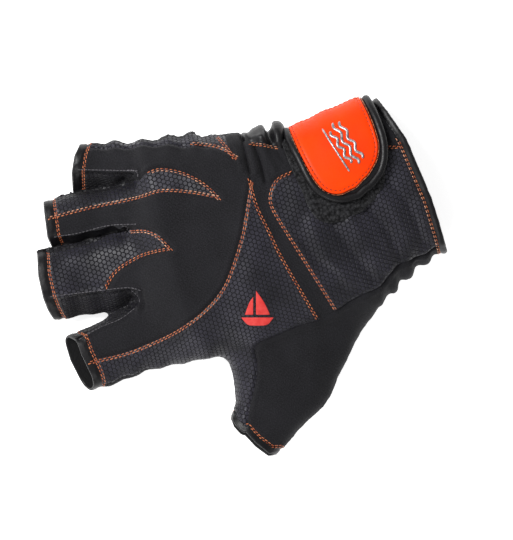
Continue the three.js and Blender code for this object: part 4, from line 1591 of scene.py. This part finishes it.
WAVE_TURN = math.radians(200)


def badge_line(length, height, across, lift, wide, tall, steps):
    """A raised line on the badge, with three waves if it has a height."""
    t = np.linspace(-0.5, 0.5, steps)
    local = np.stack([t * length, height * np.sin(t * 6 * math.pi) + across], axis=1)
    c, s = math.cos(WAVE_TURN), math.sin(WAVE_TURN)
    place = round_place(local @ np.array([[c, s], [-s, c]]) + np.array(WAVE_CENTRE))
    line, up = drape(place, np.full(len(t), TAB_TOP + lift))
    return tube_mesh(line, up, wide, tall, 8)


def closure():
    """The loop patch on the wrist, and the tab with all that is sewn to it."""
    tab = closed_line(spline([(ROOT_S, -30), *round_place(TAB_EDGE), (ROOT_S, -70.4)], 1.0), 1.0)
    badge = closed_line(spline([(ROOT_S - 0.4, -33.4), *round_place(BADGE_EDGE),
                                (ROOT_S - 0.4, -66.2)], 1.0), 1.0)
    loop = closed_spline(round_place(LOOP_EDGE), 1.0)
    stand_for(patch("loop_patch", loop, -0.5, [(0, 0.1), (0, 0.6), (0.6, 1.1), (1.4, 1.2)], "pile",
                    fills=34, rough=0.16), "loop_patch")
    stand_for(patch("hook_patch", inset(badge, 1.2), 1.45, [(0, 1.6), (0.2, 2.0)], "pile",
                    fills=16), "hook_patch", "tab")
    profile = [(0, 2.4), (0, TAB_TOP - 0.4), (0.5, TAB_TOP)]
    stand_for(patch("tab_base", inset(tab, 0.7), 2.0, profile, "band", fills=14), "tab_base", "tab")
    free = inset(tab, PIPING[0])[tab[:, 0] < ROOT_S - 0.5]
    line, up = drape(free, np.full(len(free), TAB_TOP - 0.35))
    stand_for(merge("tab_piping", [tube_mesh(line, up, *PIPING)], "band"), "tab_piping", "tab")
    profile = [(0, TAB_TOP), (0, TAB_TOP + 0.55), (0.2, TAB_TOP + 0.82), (0.5, TAB_TOP + 0.92),
               (1.0, TAB_TOP + 0.9), (1.25, TAB_TOP + 0.68), (1.5, TAB_TOP + 0.9),
               (2.0, TAB_TOP + 0.95)]
    stand_for(patch("tab_badge", badge, TAB_TOP - 0.2, profile, "badge", fills=14), "tab_badge",
              "tab")

    rows = Threads()
    line, up = drape(inset(badge, -0.42), np.full(len(badge), TAB_TOP + 0.6))
    rows.add("orange_thread", "tab", line, up, pitch=2.3, dash=2.2, radius=0.15, lift=0.2)
    line, up = drape(inset(badge, 1.25), np.full(len(badge), TAB_TOP + 0.72))
    rows.add("black_thread", "tab", line, up, pitch=2.0, dash=1.1, radius=0.14)
    rows.build()

    # Plain waves in relief stand where the real badge has its lettering.
    waves = [badge_line(length, 0.75, across, 1.1, 0.62, 0.34, 60)
             for length, across in ((15.0, -2.7), (19.0, 0.0), (17.0, 2.7))]
    waves.append(badge_line(20.0, 0.0, -5.2, 1.08, 0.45, 0.28, 40))
    stand_for(merge("badge_wave", waves, "silver"), "badge_wave", "tab")


def strap():
    """The strap from the palm up to the tab's root, on the little-finger side of the wrist."""
    low_s = float(np.interp(0.7, -ROUND_Z, ROUND_S))
    corners = [(ROOT_S - 1.2, -30.2), (low_s, -31), (low_s, -69.5), (ROOT_S - 1.2, -70.2)]
    stand_for(patch("wrist_strap", closed_line(corners, 1.2), 0.5, [(0, 0.9), (0, 2.6), (0.4, 3.0)],
                    "band", fills=10), "wrist_strap")


PADS = {
    "palm_pad": [(-28, -13), (30, -14), (40, 4), (38, 24), (10, 31), (-24, 31), (-33, 8)],
    "heel_pad": [(-25, -58), (-14, -72), (20, -70), (40, -62), (42, -40), (30, -20), (-12, -19),
                 (-28, -36)],
    "thumb_pad": [(-37, -34), (-58, -25), (-68, -10), (-58, 3), (-42, 4), (-36, -14)],
}


def palm_pads():
    """Three cushions under the palm, each with a row of stitches in a groove round it."""
    def lay(place, lift):
        points = np.column_stack([place, PALM_Z - lift])
        return points, np.tile([0, 0, -1.0], (len(place), 1))

    rows = Threads()
    groove = 1.8  # from the edge to the stitches
    profile = [(0, 0.1), (0, 0.4), (0.5, 0.6), (1.3, 0.62), (groove, 0.3), (2.4, 0.6), (4, 1.05),
               (7, 1.3)]
    for name, outline in PADS.items():
        edge = closed_spline(outline, 1.6)
        piece = patch(name, edge, -0.3, profile, "pad", lay=lay, flip=True, fills=10)
        stand_for(piece, name)
        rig.padded(piece, fill=0.4)
        row = inset(edge, groove)
        line, down = lay(np.vstack([row, row[:1]]), np.full(len(row) + 1, 0.42))
        rows.add("black_thread", None, line, down, pitch=2.2, dash=1.5, radius=0.2)
    rows.build()


def elastic():
    """The gathered elastic inside the palm at the wrist."""
    across, along = np.linspace(-27, 42, 90), np.linspace(-47.5, -40.5, 9)
    x, y = np.meshgrid(across, along, indexing="ij")
    z = PALM_Z + FABRIC + 0.75 + 0.35 * np.sin(x * 2 * math.pi / 4.2)
    upper = np.stack([x, y, z + 0.5], axis=-1).reshape(-1, 3)
    lower = np.stack([x, y, z - 0.5], axis=-1).reshape(-1, 3)
    count, width = len(upper), len(along)
    faces = []
    for i in range(len(across) - 1):
        for j in range(width - 1):
            a = i * width + j
            faces.append([a, a + width, a + width + 1, a + 1])
            faces.append([count + a, count + a + 1, count + a + width + 1, count + a + width])
    ring = ([i * width for i in range(len(across))]
            + [(len(across) - 1) * width + j for j in range(1, width)]
            + [i * width + width - 1 for i in range(len(across) - 2, -1, -1)]
            + [j for j in range(width - 2, 0, -1)])
    for a, b in zip(ring, ring[1:] + ring[:1]):
        faces.append([b, a, count + a, count + b])
    stand_for(make_mesh("wrist_elastic", np.vstack([upper, lower]), faces, "band"), "wrist_elastic")


def sail():
    """A plain boat shape printed on the back: two sails and a hull."""
    main = [*spline([(-0.4, 7.6), (2.6, 3.4), (4.6, -0.4), (5.6, -2.8)], 0.8), (-0.4, -2.8)]
    jib = [*spline([(-1.6, 5.0), (-3.4, 2.2), (-5.2, -2.8)], 0.8), (-1.6, -2.8)]
    hull = [(7.2, -4.0),
            *spline([(5.4, -6.4), (3.4, -7.4), (-3.0, -7.4), (-5.0, -6.2), (-6.8, -4.0)], 0.8)]
    centre = np.array([-26.3, -1.1])
    shapes = [centre + np.array(shape) @ np.array([VIEW_RIGHT, VIEW_UP])
              for shape in (main, jib, hull)]

    def lay(place, lift):
        points, normals = [], []
        for (x, y), h in zip(place, lift):
            hit, normal = below(x, y)
            points.append(hit + normal * h)
            normals.append(normal)
        return np.array(points), np.array(normals)

    parts = []
    for shape in shapes:
        made = patch("part", closed_line(shape, 0.5), -0.1, [(0, 0.2), (0.15, 0.32)], "red",
                     lay=lay)
        data = made.data
        parts.append((np.array([v.co for v in data.vertices]) / MM,
                      [list(f.vertices) for f in data.polygons]))
        bpy.data.objects.remove(made)
        bpy.data.meshes.remove(data)
    stand_for(merge("sail_transfer", parts, "red"), "sail_transfer")


closure()
strap()
palm_pads()
elastic()
sail()

# ------------------------------------------------------------------ floor, light and camera


# A white floor under an even white sky, a soft key light from the fingertips and a weak rim light.
FLOOR_GLOW, SKY = 0.76, 0.37
LIGHTS = {"key": ((0.55, 0.6, 0.95), 16.0), "rim": ((-0.7, 0.5, 0.6), 3.0)}  # place in m, watts
LIGHT_SIZE = 0.5
# The camera looks straight down. It is far off, so that the picture is nearly without perspective.
CAMERA_AT = (-10.2, -4.9, 2000)
FOCUS_DEPTH = 1980  # from the camera to the glove's upper half
FRAME_HEIGHT = 234.9  # what the picture's height takes in at that depth


def stage():
    """The floor, the sky, the lights and the camera."""
    s = Shader("floor", Roughness=0.9, Specular_IOR_Level=0.1)
    s.shader.inputs["Base Color"].default_value = (0.9, 0.9, 0.9, 1)
    s.shader.inputs["Emission Color"].default_value = (1, 1, 1, 1)
    s.shader.inputs["Emission Strength"].default_value = FLOOR_GLOW
    FINISHES["floor"] = s.material
    corners = np.array([(4000.0 * x, 4000.0 * y, -0.2)
                        for x, y in ((-1, -1), (1, -1), (1, 1), (-1, 1))])
    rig.stage(make_mesh("floor", corners, [[0, 1, 2, 3]], "floor"))
    world = bpy.data.worlds.new("studio")
    bpy.context.scene.world = world
    world.use_nodes = True
    sky = world.node_tree.nodes["Background"]
    sky.inputs["Color"].default_value = (1, 1, 1, 1)
    sky.inputs["Strength"].default_value = SKY
    for name, (place, watts) in LIGHTS.items():
        light = bpy.data.lights.new(name, "AREA")
        light.energy = watts
        light.size = LIGHT_SIZE
        lamp = bpy.data.objects.new(name, light)
        lamp.location = place
        lamp.rotation_euler = (-lamp.location).to_track_quat("-Z", "Y").to_euler()
        bpy.context.scene.collection.objects.link(lamp)
    camera = bpy.data.cameras.new("camera")
    eye = bpy.data.objects.new("camera", camera)
    bpy.context.scene.collection.objects.link(eye)
    turn = Matrix(((*VIEW_RIGHT, 0), (*VIEW_UP, 0), (0, 0, 1))).transposed()
    eye.matrix_world = Matrix.Translation(Vector(CAMERA_AT) * MM) @ turn.to_4x4()
    camera.sensor_fit = "VERTICAL"
    camera.sensor_height = 36
    camera.lens = camera.sensor_height * FOCUS_DEPTH / FRAME_HEIGHT
    bpy.context.scene.camera = eye
    bpy.context.scene.view_settings.view_transform = "Standard"


stage()
VISUAL_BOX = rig.bounds()
with open("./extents.json", "w") as file:
    json.dump({"cad": [list(v) for v in CAD_BOX], "visual": [list(v) for v in VISUAL_BOX]}, file)
